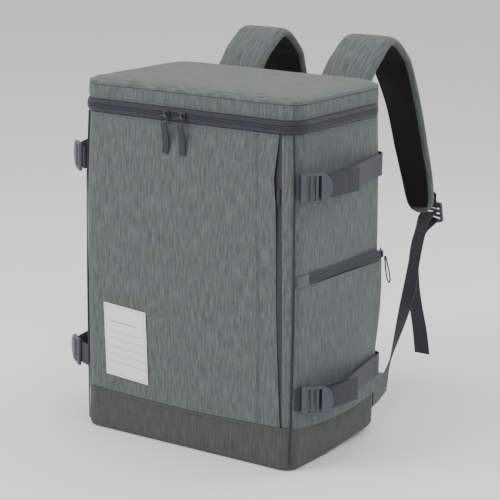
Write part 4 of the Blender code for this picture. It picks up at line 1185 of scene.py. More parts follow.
class BACKPACK_OT_front(bpy.types.Operator):
    """Front pocket panel with its flap, the corner strip, the covered zip and the label."""

    bl_idname = "backpack.front"
    bl_label = "Front pocket"

    def execute(self, context):
        sizes = context.scene.bag_sizes
        materials = finishes()
        low, high = BASE_SEAM + SEAM_GAP, WALL_HEIGHT - SEAM_GAP
        heights = spaced(0.0, 1.0, 76)

        def place(run, share, offset):
            foot = min(low, seam_height(around(run, low)) + SEAM_GAP)
            return around(run, foot + (high - foot) * share, offset)

        sections, along = [], []
        for column in spaced(0.0, 1.0, 110):
            outer, inner = [], []
            for share in heights:
                z = low + (high - low) * share
                edge = flap_edge(z)
                run = -corner_run(z, 0.49) + (edge + corner_run(z, 0.49)) * column
                from_edge = edge - run
                left_corner = run + corner_run(z, 0.49)
                lift = FLAP_GAPE * hump(z, 0.345, 0.045) * exp(-from_edge / 0.008)
                roll = -0.0009 * exp(-from_edge / 0.0012)
                groove = -0.0011 * hump(run, crease(z), 0.0014) + 0.0005 * hump(run, crease(z) + 0.004,
                                                                                0.003)
                tuck = -0.0010 * exp(-left_corner / 0.0016)
                bump = relief(run, z, sizes) * min(1.0, left_corner / 0.02)
                face = lift + roll + groove + tuck + bump
                covered = from_edge < POCKET_FOLD
                depth = -FRONT_LAYER + (POCKET_TAPE + 2 * SEAM_GAP if covered else 0.0)
                outer.append(place(run, share, face))
                inner.append(place(run, share, depth + (lift if covered else 0.0)))
            sections.append(outer + inner[::-1])
            along.append(-corner_run(0.2, 0.49) + (flap_edge(0.2) + corner_run(0.2, 0.49)) * column)
        panel = loft("front_pocket_cloth", sections, materials["body"], along=along)
        wear(panel, "body_fabric", "front_pocket_panel")

        sections = []
        for column in spaced(0.0, 1.0, 24):
            outer, inner = [], []
            for share in heights:
                z = low + (high - low) * share
                run = strip_edge(z) + (corner_run(z, 0.49) - strip_edge(z)) * column
                ease = min(1.0, max(0.0, (corner_run(z, 0.49) - run) / (FRONT_LAYER * 2)))
                from_edge = run - strip_edge(z)
                face = -(FRONT_LAYER - STRIP_LAYER) * ease - 0.0005 * exp(-from_edge / 0.0010)
                face += 0.4 * relief(run, z, sizes) - 0.0005 * (1.0 - ease)
                outer.append(place(run, share, face))
                inner.append(place(run, share, -FRONT_LAYER))
            sections.append(outer + inner[::-1])
        wear(loft("corner_strip_cloth", sections, materials["body"]), "body_fabric", "front_corner_strip")

        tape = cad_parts["front_zip_tape"]
        tape.data.materials.clear()
        tape.data.materials.append(materials["rubber"])
        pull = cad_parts["front_zip_pull"]
        pull.data.materials.clear()
        pull.data.materials.append(materials["rubber"])

        rows = []
        for shift in (-0.0016, 0.0016):
            rows.append([tuple(place(crease(low + (high - low) * share) + shift, share, 0.0004))
                         for share in spaced(0.01, 0.99, 60)])
        stitch("crease_stitches", rows, lift=0.8)
        self.label(materials)
        return {"FINISHED"}

    def label(self, materials):
        """White label with a thin border and plain ruled lines."""
        width, height = LABEL_SIZE
        skew = Matrix(((1.0, 0.0, -sin(radians(LABEL_LEAN)), 0.0), (0.0, 1.0, 0.0, 0.0),
                       (-sin(radians(LABEL_TURN)), 0.0, 1.0, 0.0), (0.0, 0.0, 0.0, 1.0)))
        place = Matrix.Translation((LABEL_PLACE[0], FRONT - SEAM_GAP - 0.0003, LABEL_PLACE[1])) @ skew
        parts = [rounded_block("card", (width, 0.0006, height), materials["label"], 0.00012)]
        edge = LABEL_BORDER
        bars = [(0.0, height / 2 - edge, width - 2 * edge, 0.0005), (0.0, -height / 2 + edge,
                                                                     width - 2 * edge, 0.0005)]
        bars += [(side * (width / 2 - edge), 0.0, 0.0005, height - 2 * edge) for side in (-1, 1)]
        bars += [(0.0, z, width - 4 * edge, 0.0006) for z in (0.012, 0.002, -0.008, -0.018, -0.028)]
        bars += [(-0.004, 0.024, width - 7 * edge, 0.0012)]
        for x, z, wide, tall in bars:
            bar = rounded_block("bar", (wide, LABEL_PRINT, tall), materials["print"], 0.00003)
            parts.append(put(bar, Matrix.Translation((x, -0.00034, z))))
        for part in parts:
            put(part, place)
        wear(join_pieces("label_card", parts), "label", "label")


class BACKPACK_OT_lid(bpy.types.Operator):
    """Crowned lid panel, its side, the hinge and the zip between lid and wall."""

    bl_idname = "backpack.lid"
    bl_label = "Lid"

    def execute(self, context):
        sizes = context.scene.bag_sizes
        materials = finishes()
        panel_low = LID_SEAM - LID_PANEL

        def belt(name, profile, material, part, node, slot):
            sections = []
            runs = loop_runs(LID_BASE, part)
            for run in runs:
                sections.append([around(run, z, offset(run) if callable(offset) else offset)
                                 for z, offset in profile])
            along = list(runs)
            if part == "whole":
                along.append(runs[-1] + RING_CLOSE)
            elif part == "hinged":
                along = list(spaced(0.0, 0.5, len(runs)))
            piece = loft(name, sections, material, ring=(part == "whole"), along=along, sharp=55.0)
            return wear(piece, slot, node)

        def lid_bulge(share):
            full = sin(pi * share)
            edge = 0.0007 * (share > 0.98) + 0.0004 * (share < 0.02)

            def stand(run):
                return full * (0.0006 + 0.0005 * noise.noise(Vector((run * 40.0, share, 2.0)))) - edge

            return stand

        profile = [(LID_BASE + (panel_low - SEAM_GAP - LID_BASE) * share, lid_bulge(share))
                   for share in (0.0, 0.05, 0.15, 0.3, 0.45, 0.6, 0.75, 0.88, 0.95, 1.0)]
        profile += [(panel_low - SEAM_GAP, -WALL_THICKNESS), (LID_BASE, -WALL_THICKNESS)]
        belt("lid_side_cloth", profile, materials["body"], "whole", "lid_side", "body_fabric")

        runs = loop_runs(LID_SEAM)
        loops = [[around(run, panel_low, -0.006) for run in runs], [around(run, panel_low,
                                                                           -0.0004) for run in runs],
                 [around(run, panel_low + 0.0009, 0.0004) for run in runs]]
        for share, rise in LID_SECTIONS:
            z = LID_SEAM + LID_CROWN * rise
            loop = []
            for run in runs:
                point = around(run, z, 0.0)
                inside = (1.0 - share) * HALF_WIDTH
                seam_gather = sizes.pucker * noise.noise(Vector((run * 90.0, share * 6.0,
                                                                 6.0))) * exp(-inside / 0.010)
                soft = sizes.sag * 1.2 * noise.noise(Vector((point.x * share * 12.0, point.y * share * 12.0,
                                                             1.0)))
                groove = -0.0012 * hump(inside, 0.0030, 0.0016)
                lift = (seam_gather + soft * min(1.0, inside / 0.02) + groove) if share < 1.0 else 0.0
                loop.append((point.x * share, point.y * share, z + lift))
            loops.append(loop)
        # The lid panel wears the lighter lid cloth, which is painted light from above.
        lid = stack("lid_panel_cloth", loops, materials["lid"])
        planar_map(lid)
        wear(lid, "body_fabric", "lid_top")

        bulge = ZIP_BULGE
        chain_low = WALL_HEIGHT + (ZIP_BAND - CHAIN_HEIGHT) / 2
        chain_high = chain_low + CHAIN_HEIGHT
        lower, upper = chain_low - WALL_HEIGHT, LID_BASE - chain_high
        tape_low = [(WALL_HEIGHT + SEAM_GAP, -0.0008), (WALL_HEIGHT + lower * 0.12, bulge * 0.30),
                    (WALL_HEIGHT + lower * 0.30, bulge * 0.50), (WALL_HEIGHT + lower * 0.60, bulge * 0.72),
                    (WALL_HEIGHT + lower * 0.85, bulge * 0.88), (chain_low, bulge * 0.80),
                    (chain_low, -TAPE_DEPTH), (WALL_HEIGHT + SEAM_GAP, -TAPE_DEPTH)]
        tape_high = [(chain_high, bulge * 0.80), (chain_high + upper * 0.15, bulge * 0.88),
                     (chain_high + upper * 0.40, bulge * 0.72), (chain_high + upper * 0.70, bulge * 0.50),
                     (chain_high + upper * 0.88, bulge * 0.30), (LID_BASE - SEAM_GAP, -0.0008),
                     (LID_BASE - SEAM_GAP, -TAPE_DEPTH), (chain_high, -TAPE_DEPTH)]
        belt("lid_zip_tape_lower", tape_low, materials["tape"], "zipped", "zip_tape_lower", "zip_tape")
        belt("lid_zip_tape_upper", tape_high, materials["tape"], "zipped", "zip_tape_upper", "zip_tape")
        middle = (chain_low + chain_high) / 2
        ridge = [(chain_low + SEAM_GAP, bulge * 0.55), (chain_low + 0.0010, bulge * 0.80),
                 (middle - 0.0004, bulge * 0.72), (middle, bulge * 0.52), (middle + 0.0004, bulge * 0.72),
                 (chain_high - 0.0010, bulge * 0.80), (chain_high - SEAM_GAP, bulge * 0.55),
                 (chain_high - SEAM_GAP, -TAPE_DEPTH), (chain_low + SEAM_GAP, -TAPE_DEPTH)]
        belt("lid_zip_coil_bed", ridge, materials["coil"], "zipped", "zip_chain", "zip_tape")
        zipped = loop_runs(LID_BASE, "zipped")
        routes = [[tuple(around(run, height, bulge * 0.72)) for run in zipped]
                  for height in (middle - 0.00105, middle + 0.00105)]
        coil("lid_zip_coil", routes, 0.0016, 0.0012, "zip_chain")
        hinge = [(WALL_HEIGHT + SEAM_GAP, 0.0), (WALL_HEIGHT + ZIP_BAND * 0.5, 0.0008),
                 (LID_BASE - SEAM_GAP, 0.0),
                 (LID_BASE - SEAM_GAP, -TAPE_DEPTH), (WALL_HEIGHT + SEAM_GAP, -TAPE_DEPTH)]
        belt("lid_hinge_cloth", hinge, materials["wrap"], "hinged", "lid_hinge", "body_fabric")
        rows = [[tuple(around(run, z, 0.0007)) for run in zipped]
                for z in (WALL_HEIGHT - 0.0030, LID_BASE + 0.0030)]
        stitch("lid_zip_stitches", rows, lift=0.7)
        return {"FINISHED"}


class BACKPACK_OT_pulls(bpy.types.Operator):
    """Sliders of the lid's zip with their rings and bare tabs."""

    bl_idname = "backpack.pulls"
    bl_label = "Lid zip pulls"

    def execute(self, context):
        materials = finishes()
        zip_middle = WALL_HEIGHT + ZIP_BAND / 2
        face = FRONT - ZIP_BULGE - SEAM_GAP
        for name, side, swing in (("left", -1, -0.0042), ("right", 1, -0.0026)):
            x = SLIDER_CENTRE + side * SLIDER_SPACING / 2
            plate = rounded_block("plate", (0.0088, 0.0020, 0.0098), materials["metal"], 0.0009)
            put(plate, Matrix.Translation((x, face - 0.0010, zip_middle)))
            bridge = rounded_block("bridge", (0.0030, 0.0026, 0.0082), materials["metal"], 0.0008)
            put(bridge, Matrix.Translation((x, face - 0.0029, zip_middle - 0.0002)))
            nose = rounded_block("nose", (0.0060, 0.0016, 0.0032), materials["metal"], 0.0007)
            put(nose, Matrix.Translation((x, face - 0.0022, zip_middle + 0.0031)))
            wear(join_pieces("slider_body_" + name, [plate, bridge, nose]), "zip_metal",
                 "zip_slider_" + name)

            ring_y = face - 0.0042 - RING_WIRE - SEAM_GAP
            ring_z = zip_middle - RING_RADIUS * 1.1
            circle = [Vector((x + RING_RADIUS * cos(2 * pi * step / 28), ring_y,
                              ring_z + RING_RADIUS * sin(2 * pi * step / 28))) for step in range(28)]
            sections = []
            for step, middle in enumerate(circle):
                away = (middle - Vector((x, ring_y, ring_z))).normalized()
                sections.append([middle + away * (RING_WIRE * cos(radians(turn)))
                                 + Vector((0.0, RING_WIRE * sin(radians(turn)),
                                           0.0)) for turn in range(0, 360, 45)])
            ring = loft("pull_wire_" + name, sections, materials["metal"], ring=True)
            wear(ring, "zip_metal", "pull_ring_" + name)

            top = ring_z - RING_RADIUS - RING_WIRE - SEAM_GAP
            rest = FRONT - SEAM_GAP * 2 - TAB_LAYER / 2
            rows = ((x, ring_y, top + 0.0016, 0.70, 1.0, 0.0, 0.0),
                    (x, ring_y, top - 0.0020, 0.98, 1.0, 0.0, 0.0),
                    (x + swing * 0.3, (ring_y + rest) / 2, top - TAB_LENGTH * 0.35, 1.0, 1.0, 0.0, 0.0),
                    (x + swing * 0.65, rest - 0.0004, top - TAB_LENGTH * 0.7, 1.0, 1.0, 0.0, 0.0),
                    (x + swing, rest, top - TAB_LENGTH, 1.0, 1.0, 0.0, 0.0))
            tab = loft("tab", band_sections(rows, TAB_WIDTH, TAB_LAYER, 8), materials["webbing"])
            grip_rows = [row for row in smooth_run(rows, 8) if row[2] < top - TAB_LENGTH * 0.34]
            grip_rows = [(*row[:3], 0.60, *row[4:]) for row in grip_rows[:-1]]
            grip = loft("grip", band_sections(grip_rows, TAB_WIDTH, 0.0007, 1,
                                              offset=TAB_LAYER / 2 + 0.0003),
                        materials["rubber"])
            wear(join_pieces("pull_tab_cloth_" + name, [tab, grip]), "webbing", "pull_tab_" + name)
        return {"FINISHED"}


class BACKPACK_OT_side_pocket(bpy.types.Operator):
    """Side pocket: cloth panel, zip, end patch, slider and cord pull."""

    bl_idname = "backpack.side_pocket"
    bl_label = "Side pocket"

    def execute(self, context):
        sizes = context.scene.bag_sizes
        materials = finishes()
        low, high = BASE_SEAM + SEAM_GAP, POCKET_TOP - SEAM_GAP
        start = BODY_CORNER - HALF_DEPTH - BODY_CORNER * pi / 4 + PIPING_WIDTH / 2 + SEAM_GAP
        sections = []
        for y in spaced(start, POCKET_BACK, 90):
            outer, inner = [], []
            foot = min(low, seam_height(around(side_run(low, y), low)) + SEAM_GAP)
            for share in spaced(0.0, 1.0, 56):
                z = low + (high - low) * share
                run = side_run(z, y)
                from_start = y - start
                stand = SEAM_GAP + pocket_bulge(run, z)
                edge = -0.0006 * (exp(-from_start / 0.002) + exp(-(high - z) / 0.0015))
                ripple = 0.9 * relief(run, z, sizes) * min(1.0, from_start / 0.02)
                gather = sizes.pucker * 0.6 * noise.noise(Vector((run * 130.0, 0.0,
                                                                  4.0))) * exp(-(high - z) / 0.014)
                height = foot + (high - foot) * share
                rise = max(0.0, ripple + gather) + min(0.0, ripple + gather) * 0.5
                outer.append(around(run, height, stand + POCKET_LAYER + edge + rise))
                inner.append(around(run, height, stand))
            sections.append(outer + inner[::-1])
        panel = loft("side_pocket_cloth", sections, materials["body"])
        wear(panel, "body_fabric", "side_pocket_panel")

        def strip(first, last, profile, count=60):
            return [[around(side_run(z, y), z, offset + swell(side_run(z, y), z)) for z, offset in profile]
                    for y in spaced(first, last, count)]

        zip_top = POCKET_TOP + POCKET_ZIP_HEIGHT
        tape_face = SEAM_GAP + POCKET_ZIP_LAYER
        middle = POCKET_TOP + POCKET_ZIP_HEIGHT / 2
        tape = [(POCKET_TOP, tape_face - 0.0005), (POCKET_TOP + 0.0009, tape_face),
                (middle - 0.0026, tape_face + 0.0003),
                (middle - 0.0020, tape_face), (middle + 0.0020, tape_face), (middle + 0.0026,
                                                                             tape_face + 0.0003),
                (zip_top - 0.0009, tape_face), (zip_top, tape_face - 0.0005), (zip_top, SEAM_GAP),
                (POCKET_TOP, SEAM_GAP)]
        wear(loft("side_zip_weave", strip(POCKET_ZIP_START, POCKET_ZIP_END, tape), materials["tape"]),
             "zip_tape",
             "side_zip_tape")
        end = POCKET_ZIP_END - SIDE_SLIDER_LENGTH
        bed = [(middle - 0.0018, tape_face), (middle - 0.0012, tape_face + 0.0008),
               (middle, tape_face + 0.0005),
               (middle + 0.0012, tape_face + 0.0008), (middle + 0.0018, tape_face),
               (middle, tape_face - 0.0002)]
        wear(loft("side_zip_coil_bed", strip(POCKET_ZIP_START, end, bed), materials["coil"]), "zip_tape",
             "side_zip_chain")
        routes = [[tuple(around(side_run(z, y), z, tape_face + 0.0007 + swell(side_run(z, y), z)))
                   for y in spaced(POCKET_ZIP_START, end, 60)] for z in (middle - 0.00085,
                                                                         middle + 0.00085)]
        coil("side_zip_coil", routes, 0.0013, 0.0009, "side_zip_chain")
        patch = [(POCKET_TOP, tape_face - 0.0004), (POCKET_TOP + 0.0010, tape_face + 0.0001),
                 (middle, tape_face + 0.0002),
                 (zip_top - 0.0010, tape_face + 0.0001), (zip_top, tape_face - 0.0004), (zip_top, SEAM_GAP),
                 (POCKET_TOP, SEAM_GAP)]
        wear(loft("side_zip_patch_cloth", strip(POCKET_ZIP_START - PATCH_LENGTH,
                                                POCKET_ZIP_START - SEAM_GAP, patch, 16),
                  materials["body"]), "body_fabric", "side_zip_patch")
        self.slider(materials, middle, tape_face)
        rows = [[tuple(around(side_run(z, y), z, lift + swell(side_run(z, y), z)))
                 for y in spaced(POCKET_ZIP_START, POCKET_ZIP_END, 60)]
                for z, lift in ((POCKET_TOP - 0.0022, SEAM_GAP + POCKET_LAYER + 0.0006),
                                (zip_top + 0.0022, 0.0008))]
        stitch("side_zip_stitches", rows, lift=0.7)
        return {"FINISHED"}

    def slider(self, materials, middle, tape_face):
        """Slider of the side zip with a looped cord hanging from it."""
        start = POCKET_ZIP_END - SIDE_SLIDER_LENGTH
        half = SIDE_SLIDER_HEIGHT / 2
        profile = [(middle - half, tape_face + 0.0004), (middle - half * 0.85,
                                                         tape_face + SIDE_SLIDER_DEPTH * 0.75),
                   (middle - half * 0.4, tape_face + SIDE_SLIDER_DEPTH), (middle + half * 0.4,
                                                                         tape_face + SIDE_SLIDER_DEPTH),
                   (middle + half * 0.85, tape_face + SIDE_SLIDER_DEPTH * 0.75), (middle + half,
                                                                                  tape_face + 0.0004)]
        sections = [[around(side_run(z, y), z, offset + swell(side_run(z, y), z)) for z, offset in profile]
                    for y in spaced(start, POCKET_ZIP_END, 10)]
        wear(loft("side_slider_body", sections, materials["metal"]), "zip_metal", "side_zip_slider")

        hang_run = side_run(middle, POCKET_ZIP_END - SIDE_SLIDER_LENGTH / 2)
        hang = around(hang_run, middle - SIDE_SLIDER_HEIGHT * 0.4, tape_face + SIDE_SLIDER_DEPTH
                      + swell(hang_run, middle) + SEAM_GAP + PULL_CORD * 0.8)
        wide = PULL_CORD_WIDTH / 2
        rows = [(hang.x, hang.y - wide * reach, hang.z - PULL_CORD_DROP * share)
                for share, reach in ((0.00, 0.30), (0.20, 0.55), (0.50, 0.95), (0.75, 1.0), (0.92, 0.75))]
        rows.append((hang.x, hang.y, hang.z - PULL_CORD_DROP))
        rows += [(x, 2 * hang.y - y, z) for x, y, z in reversed(rows[:-1])]
        lean = PULL_CORD_SLANT / PULL_CORD_DROP
        rows = [(x + (hang.z - z) * lean, y + (hang.z - z) * lean, z) for x, y, z in rows]
        route = [Vector(point) for point in smooth_run(rows, 3)]
        cord = loft("side_cord_loop", tube_sections(route, PULL_CORD / 2, 12), materials["webbing"])
        wear(cord, "webbing", "side_pull_cord")


class BACKPACK_OT_side_straps(bpy.types.Operator):
    """Compression straps: anchors, ladder locks, straps and stitched tails."""

    bl_idname = "backpack.side_straps"
    bl_label = "Side straps"

    def execute(self, context):
        materials = finishes()
        for name, side, height, bar_out, bar_y, turn, slack in SIDE_STRAPS:
            angle = radians(turn)
            along = Vector((side * sin(angle), cos(angle), 0.0))
            out = Vector((side * cos(angle), -sin(angle), 0.0))
            under = POCKET_LAYER + SEAM_GAP if side > 0 and height < POCKET_TOP else 0.0
            half_width = body_size(height)[0] + under
            bar = Vector((side * (half_width + bar_out), bar_y, height))

            def row(point, share=1.0):
                return (point.x, point.y, point.z, share, 0.0, 0.0, 1.0)

            def stands(distances):
                return [row(Vector((side * (half_width + distance * slack), share * BODY_DEPTH, height)))
                        for share, distance in distances]

            lock = ladder_lock("lock_body_" + name, LOCK_HEIGHT, LOCK_LENGTH, materials["plastic"])
            frame_turn = Matrix((along, out, Vector((0.0, 0.0, 1.0)))).transposed().to_4x4()
            put(lock, Matrix.Translation(bar) @ frame_turn)
            wear(lock, "lock_plastic", "lock_" + name)

            behind = out * -(LOCK_DEPTH / 2 + SEAM_GAP + WEBBING_LAYER / 2)
            root = around(corner_run(height, 0.62), height, SEAM_GAP * 2 + WEBBING_LAYER / 2 + under)
            root.x *= side
            anchor_end = bar + behind * 1.05 + along * LOCK_BAR * 0.4
            anchor_entry = bar + behind * 1.15 - along * LOCK_BAR * 0.9
            anchor = band_sections([row(root), row(anchor_entry), row(anchor_end)], WEBBING_WIDTH,
                                   WEBBING_LAYER, 8)
            wear(loft("anchor_webbing_" + name, anchor, materials["webbing"]), "webbing", "anchor_" + name)

            tail = [row(bar + behind + along * LOCK_LENGTH * 0.55)] + stands(TAIL_RUN)
            tail_sections = band_sections(tail, WEBBING_WIDTH, WEBBING_LAYER, 10, ripple=0.0003)
            wear(loft("tail_webbing_" + name, tail_sections, materials["webbing"]), "webbing",
                 "tail_" + name)
            self.tail_stitches(name, smooth_run(tail, 10), side)

            strap = [row(bar + behind * 2.1 + along * LOCK_LENGTH * 0.48)] + stands(STRAP_RUN)
            ease = SEAM_GAP + WEBBING_LAYER
            _, half_depth, corner = body_size(height)
            landing = 2 * SEAM_GAP + WEBBING_LAYER / 2
            for share, rise in ((0.45, 2.2 * ease + under), (0.75, 1.2 * ease), (0.96, landing)):
                wrap = around(side_run(height, half_depth - corner + corner * pi / 2 * share), height, rise)
                strap.append(row(Vector((side * wrap.x, wrap.y, height))))
            strap_sections = band_sections(strap, WEBBING_WIDTH, WEBBING_LAYER, 8)
            wear(loft("strap_webbing_" + name, strap_sections, materials["webbing"]), "webbing",
                 "strap_" + name)
        return {"FINISHED"}

    def tail_stitches(self, name, rows, side):
        """Two rows of stitches across the folded end of a tail."""
        routes = []
        for back in (7, 9):
            middle = Vector(rows[-back][:3])
            ahead = (Vector(rows[-back + 1][:3]) - middle).normalized()
            out = Vector((0.0, 0.0, 1.0)).cross(ahead).normalized()
            out = out if out.x * side > 0 else -out
            half = WEBBING_WIDTH * 0.42
            routes.append([tuple(middle + out * (WEBBING_LAYER / 2 + 0.0002) + Vector((0.0, 0.0, up)))
                           for up in spaced(-half, half, 6)])
        stitch("tail_stitches_" + name, routes, "webbing")


def ladder_lock(name, height, length, material):
    """Moulded ladder lock: thick rounded bar, two ribs between three slots, and a round end."""
    sizes = bpy.context.scene.bag_sizes
    half = height / 2
    start = -LOCK_BAR / 2
    plate_start = start + LOCK_BAR + 3 * LOCK_SLOT + 2 * LOCK_RIB
    end = start + length
    rim = [(start, -half), (plate_start, -half)]
    for step in range(1, 16):
        angle = -pi / 2 + pi * step / 16
        rim.append((plate_start + (end - plate_start) * cos(angle), half * sin(angle)))
    rim += [(plate_start, half), (start, half)]
    thin = LOCK_DEPTH * 0.72
    sections = [[(x, y, z) for x, z in rim] for y in (-thin / 2, thin / 2)]
    lock = loft(name, sections, material)
    cutters = []
    for index in range(3):
        middle = start + LOCK_BAR + LOCK_SLOT / 2 + index * (LOCK_SLOT + LOCK_RIB)
        cutter = rounded_block("slot", (LOCK_SLOT, LOCK_DEPTH * 3, height - 2 * LOCK_RIM), material, 0.0003)
        cutters.append(put(cutter, Matrix.Translation((middle, 0.0, 0.0))))
    for cutter in cutters:
        modifier = lock.modifiers.new("cut", "BOOLEAN")
        modifier.operation = "DIFFERENCE"
        modifier.object = cutter
        modifier.solver = "EXACT"
    apply_modifiers(lock)
    for cutter in cutters:
        bpy.data.objects.remove(cutter, do_unlink=True)
    bevel = lock.modifiers.new("edge", "BEVEL")
    bevel.width = sizes.lock_bevel
    bevel.segments = 2
    bevel.limit_method = "ANGLE"
    bevel.angle_limit = radians(40.0)
    apply_modifiers(lock)
    bar = rounded_block("bar", (LOCK_BAR * 0.86, LOCK_DEPTH, height * 0.97), material, LOCK_BAR * 0.28)
    put(bar, Matrix.Translation((start + LOCK_BAR * 0.45, 0.0, 0.0)))
    ribs = []
    for index in range(2):
        middle = start + LOCK_BAR + LOCK_SLOT + LOCK_RIB / 2 + index * (LOCK_SLOT + LOCK_RIB)
        rib = rounded_block("rib", (LOCK_RIB * 0.8, LOCK_DEPTH, height - 2 * LOCK_RIM), material, 0.0010)
        ribs.append(put(rib, Matrix.Translation((middle, 0.0, 0.0))))
    joined = join_pieces(name, [lock, bar] + ribs)
    joined.data.shade_smooth()
    joined.data.set_sharp_from_angle(angle=radians(38.0))
    return joined


class BACKPACK_OT_shoulder_straps(bpy.types.Operator):
    """Padded shoulder straps with mesh lining, locks, lower straps and wings."""

    bl_idname = "backpack.shoulder_straps"
    bl_label = "Shoulder straps"

    def execute(self, context):
        materials = finishes()
        for name, side in (("right", 1), ("left", -1)):
            rows = self.mirror(self.yawed(PAD_RUN), side)
            self.pad(name, rows, materials)
            self.hardware(name, side, rows, materials)
        return {"FINISHED"}

    def stand_off(self, y, side):
        """Place of a shoulder strap's point behind the bag, on its own side's reach."""
        root = PAD_RUN[0][1]
        return root + (y - root) * STRAP_REACH[side]

    def mirror(self, rows, side):
        """Rows of a route for the right side, turned over for the left one and moved to its reach."""
        turned = []
        for row in rows:
            values = list(row)
            values[0] *= side
            values[1] = self.stand_off(values[1], side)
            if len(values) > 4:
                values[5] *= side
                values[6] *= side
            turned.append(tuple(values))
        return turned

    def yawed(self, rows):
        """Rows with a turn of the width about the vertical, given its direction instead."""
        return [(x, y, z, share, cos(radians(turn)), sin(radians(turn)), 0.0) for x, y, z, share,
                turn in rows]

    def frames(self, rows, steps):
        """Places, directions and shares of width along a padded strap."""
        route = smooth_run(rows, steps)
        places = [Vector(row[:3]) for row in route]
        result = []
        for index, row in enumerate(route):
            along = (places[min(index + 1, len(places) - 1)] - places[max(index - 1, 0)]).normalized()
            across = Vector(row[4:7])
            across = (across - along * across.dot(along)).normalized()
            result.append((places[index], across, across.cross(along), row[3]))
        return result

    def pad(self, name, rows, materials):
        """Padded strap with its bound edge, and the mesh lining on its inner face."""
        frames = self.frames(rows, 9)
        sections = []
        last = len(frames) - 1
        for index, (place, across, out, share) in enumerate(frames):
            thin = min(1.0, 0.30 + share * 1.9) * min(1.0, 0.55 + 0.45 * index / 6)
            soft = 0.0006 * noise.noise(place * 38.0)
            section = []
            for step in range(36):
                angle = 2 * pi * step / 36
                a = abs(cos(angle)) ** 0.42 * (1 if cos(angle) >= 0 else -1) * 0.5
                b = abs(sin(angle)) ** 0.85 * (1 if sin(angle) >= 0 else -1) * 0.5
                seam = 1.0 - 0.10 * hump(abs(a), 0.5, 0.03)
                section.append(place + across * (a * PAD_WIDTH * share) + out * (b * PAD_THICKNESS * thin * seam
                                                                                 + soft))
            sections.append(section)
        pad = loft("padded_strap_" + name, sections, materials["wrap"], sharp=60.0)
        wear(pad, "body_fabric", "shoulder_pad_" + name)

        lining = []
        for index, (place, across, out, share) in enumerate(frames):
            if index > last - 12:
                break
            wide = share * PAD_WIDTH / 2 - LINING_MARGIN
            inner = -PAD_THICKNESS / 2
            face, back = [], []
            for a in spaced(-1.0, 1.0, 15):
                crown = 0.0008 * (1.0 - a * a) + 0.0003
                face.append(place + across * a * wide + out * (inner - SEAM_GAP - crown))
                back.append(place + across * a * wide + out * (inner + 0.0012))
            lining.append(face + back[::-1])
        mesh = loft("strap_lining_mesh_" + name, lining, materials["mesh"])
        wear(mesh, "strap_mesh", "pad_lining_" + name)

        edges = []
        for side in (-1, 1):
            edges.append([tuple(place + across * (side * (share * PAD_WIDTH / 2 - LINING_MARGIN))
                                + out * (PAD_THICKNESS / 2 * 0.97))
                          for place, across, out, share in frames[3:last - 10]])
        stitch("strap_edge_stitches_" + name, edges, lift=0.8)

    def hardware(self, name, side, pad_rows, materials):
        """Ladder lock at the tip of the pad, its loop, the lower strap with its loose end, and the wing."""
        x, y, z = STRAP_LOCK_PLACE
        tip_y = PAD_RUN[-1][1]
        shift = self.stand_off(tip_y, side) - tip_y
        lock = ladder_lock("strap_lock_body_" + name, STRAP_LOCK_HEIGHT, STRAP_LOCK_LENGTH,
                           materials["plastic"])
        centre = Matrix.Translation((-(STRAP_LOCK_LENGTH - LOCK_BAR) / 2, 0.0, 0.0))
        upright = Matrix.Rotation(radians(90.0), 4, "Y")
        lean = Matrix.Rotation(radians(STRAP_LOCK_LEAN), 4, "X")
        turn = Matrix.Rotation(radians(STRAP_LOCK_TURN) * side, 4, "Z")
        spot = Matrix.Translation((side * x, y + shift, z)) @ turn @ lean @ upright
        put(lock, spot @ centre)
        wear(lock, "lock_plastic", "strap_lock_" + name)
        bar = spot @ Vector((-(STRAP_LOCK_LENGTH - LOCK_BAR) / 2, 0.0, 0.0))
        normal = (spot.to_3x3() @ Vector((0.0, 1.0, 0.0))).normalized()
        drop = (spot.to_3x3() @ Vector((1.0, 0.0, 0.0))).normalized()
        wide = tuple((spot.to_3x3() @ Vector((0.0, 0.0, 1.0))).normalized())
        near = normal * -(LOCK_DEPTH / 2 + SEAM_GAP + WEBBING_LAYER / 2)

        seat = pad_rows[-3]
        seat_place = Vector(seat[:3]) + Vector((0.0, (PAD_THICKNESS + WEBBING_LAYER) / 2 + 3 * SEAM_GAP,
                                                0.012))
        loop_end = bar + near * 1.15 + drop * LOCK_BAR * 0.45
        loop_entry = bar + near * 1.3 - drop * LOCK_BAR
        loop_mid = (seat_place + loop_entry) / 2 + Vector((0.0, LOOP_STAND, 0.0))
        flat = Vector(seat[4:7])
        half_way = flat.lerp(Vector(wide), 0.4)
        loop = [(*seat_place, 1.0, *flat), (*loop_mid, 1.0, *half_way), (*loop_entry, 1.0, *wide),
                (*loop_end, 1.0, *wide)]
        self.strap("end_loop_webbing_" + name, loop, WEBBING_WIDTH, 8, materials, "end_loop_" + name)

        lower = self.mirror([(*row[:3], 1.0, *row[3:]) for row in ADJUSTER_RUN], side)
        lower.insert(0, (*(bar + near * 2.1 + drop * STRAP_LOCK_LENGTH * 0.34), 1.0, *wide))
        self.strap("lower_strap_webbing_" + name, lower, WEBBING_WIDTH * 0.9, 9, materials,
                   "lower_strap_" + name)

        loose = self.mirror(self.yawed([(*row[:3], 1.0, row[3]) for row in LOOSE_RUN]), side)
        for distance, reach in ((1.90, 0.74), (1.27, 0.56)):
            loose_start = bar + near * distance + drop * STRAP_LOCK_LENGTH * reach
            loose.insert(0, (*loose_start, 1.0, *wide))
        self.strap("loose_end_webbing_" + name, loose, WEBBING_WIDTH * 0.9, 8, materials,
                   "loose_end_" + name)
        self.wing(name, side, materials)

    def strap(self, name, rows, width, steps, materials, node):
        """Strap of webbing along its rows."""
        sections = band_sections(rows, width, WEBBING_LAYER, steps)
        wear(loft(name, sections, materials["webbing"]), "webbing", node)

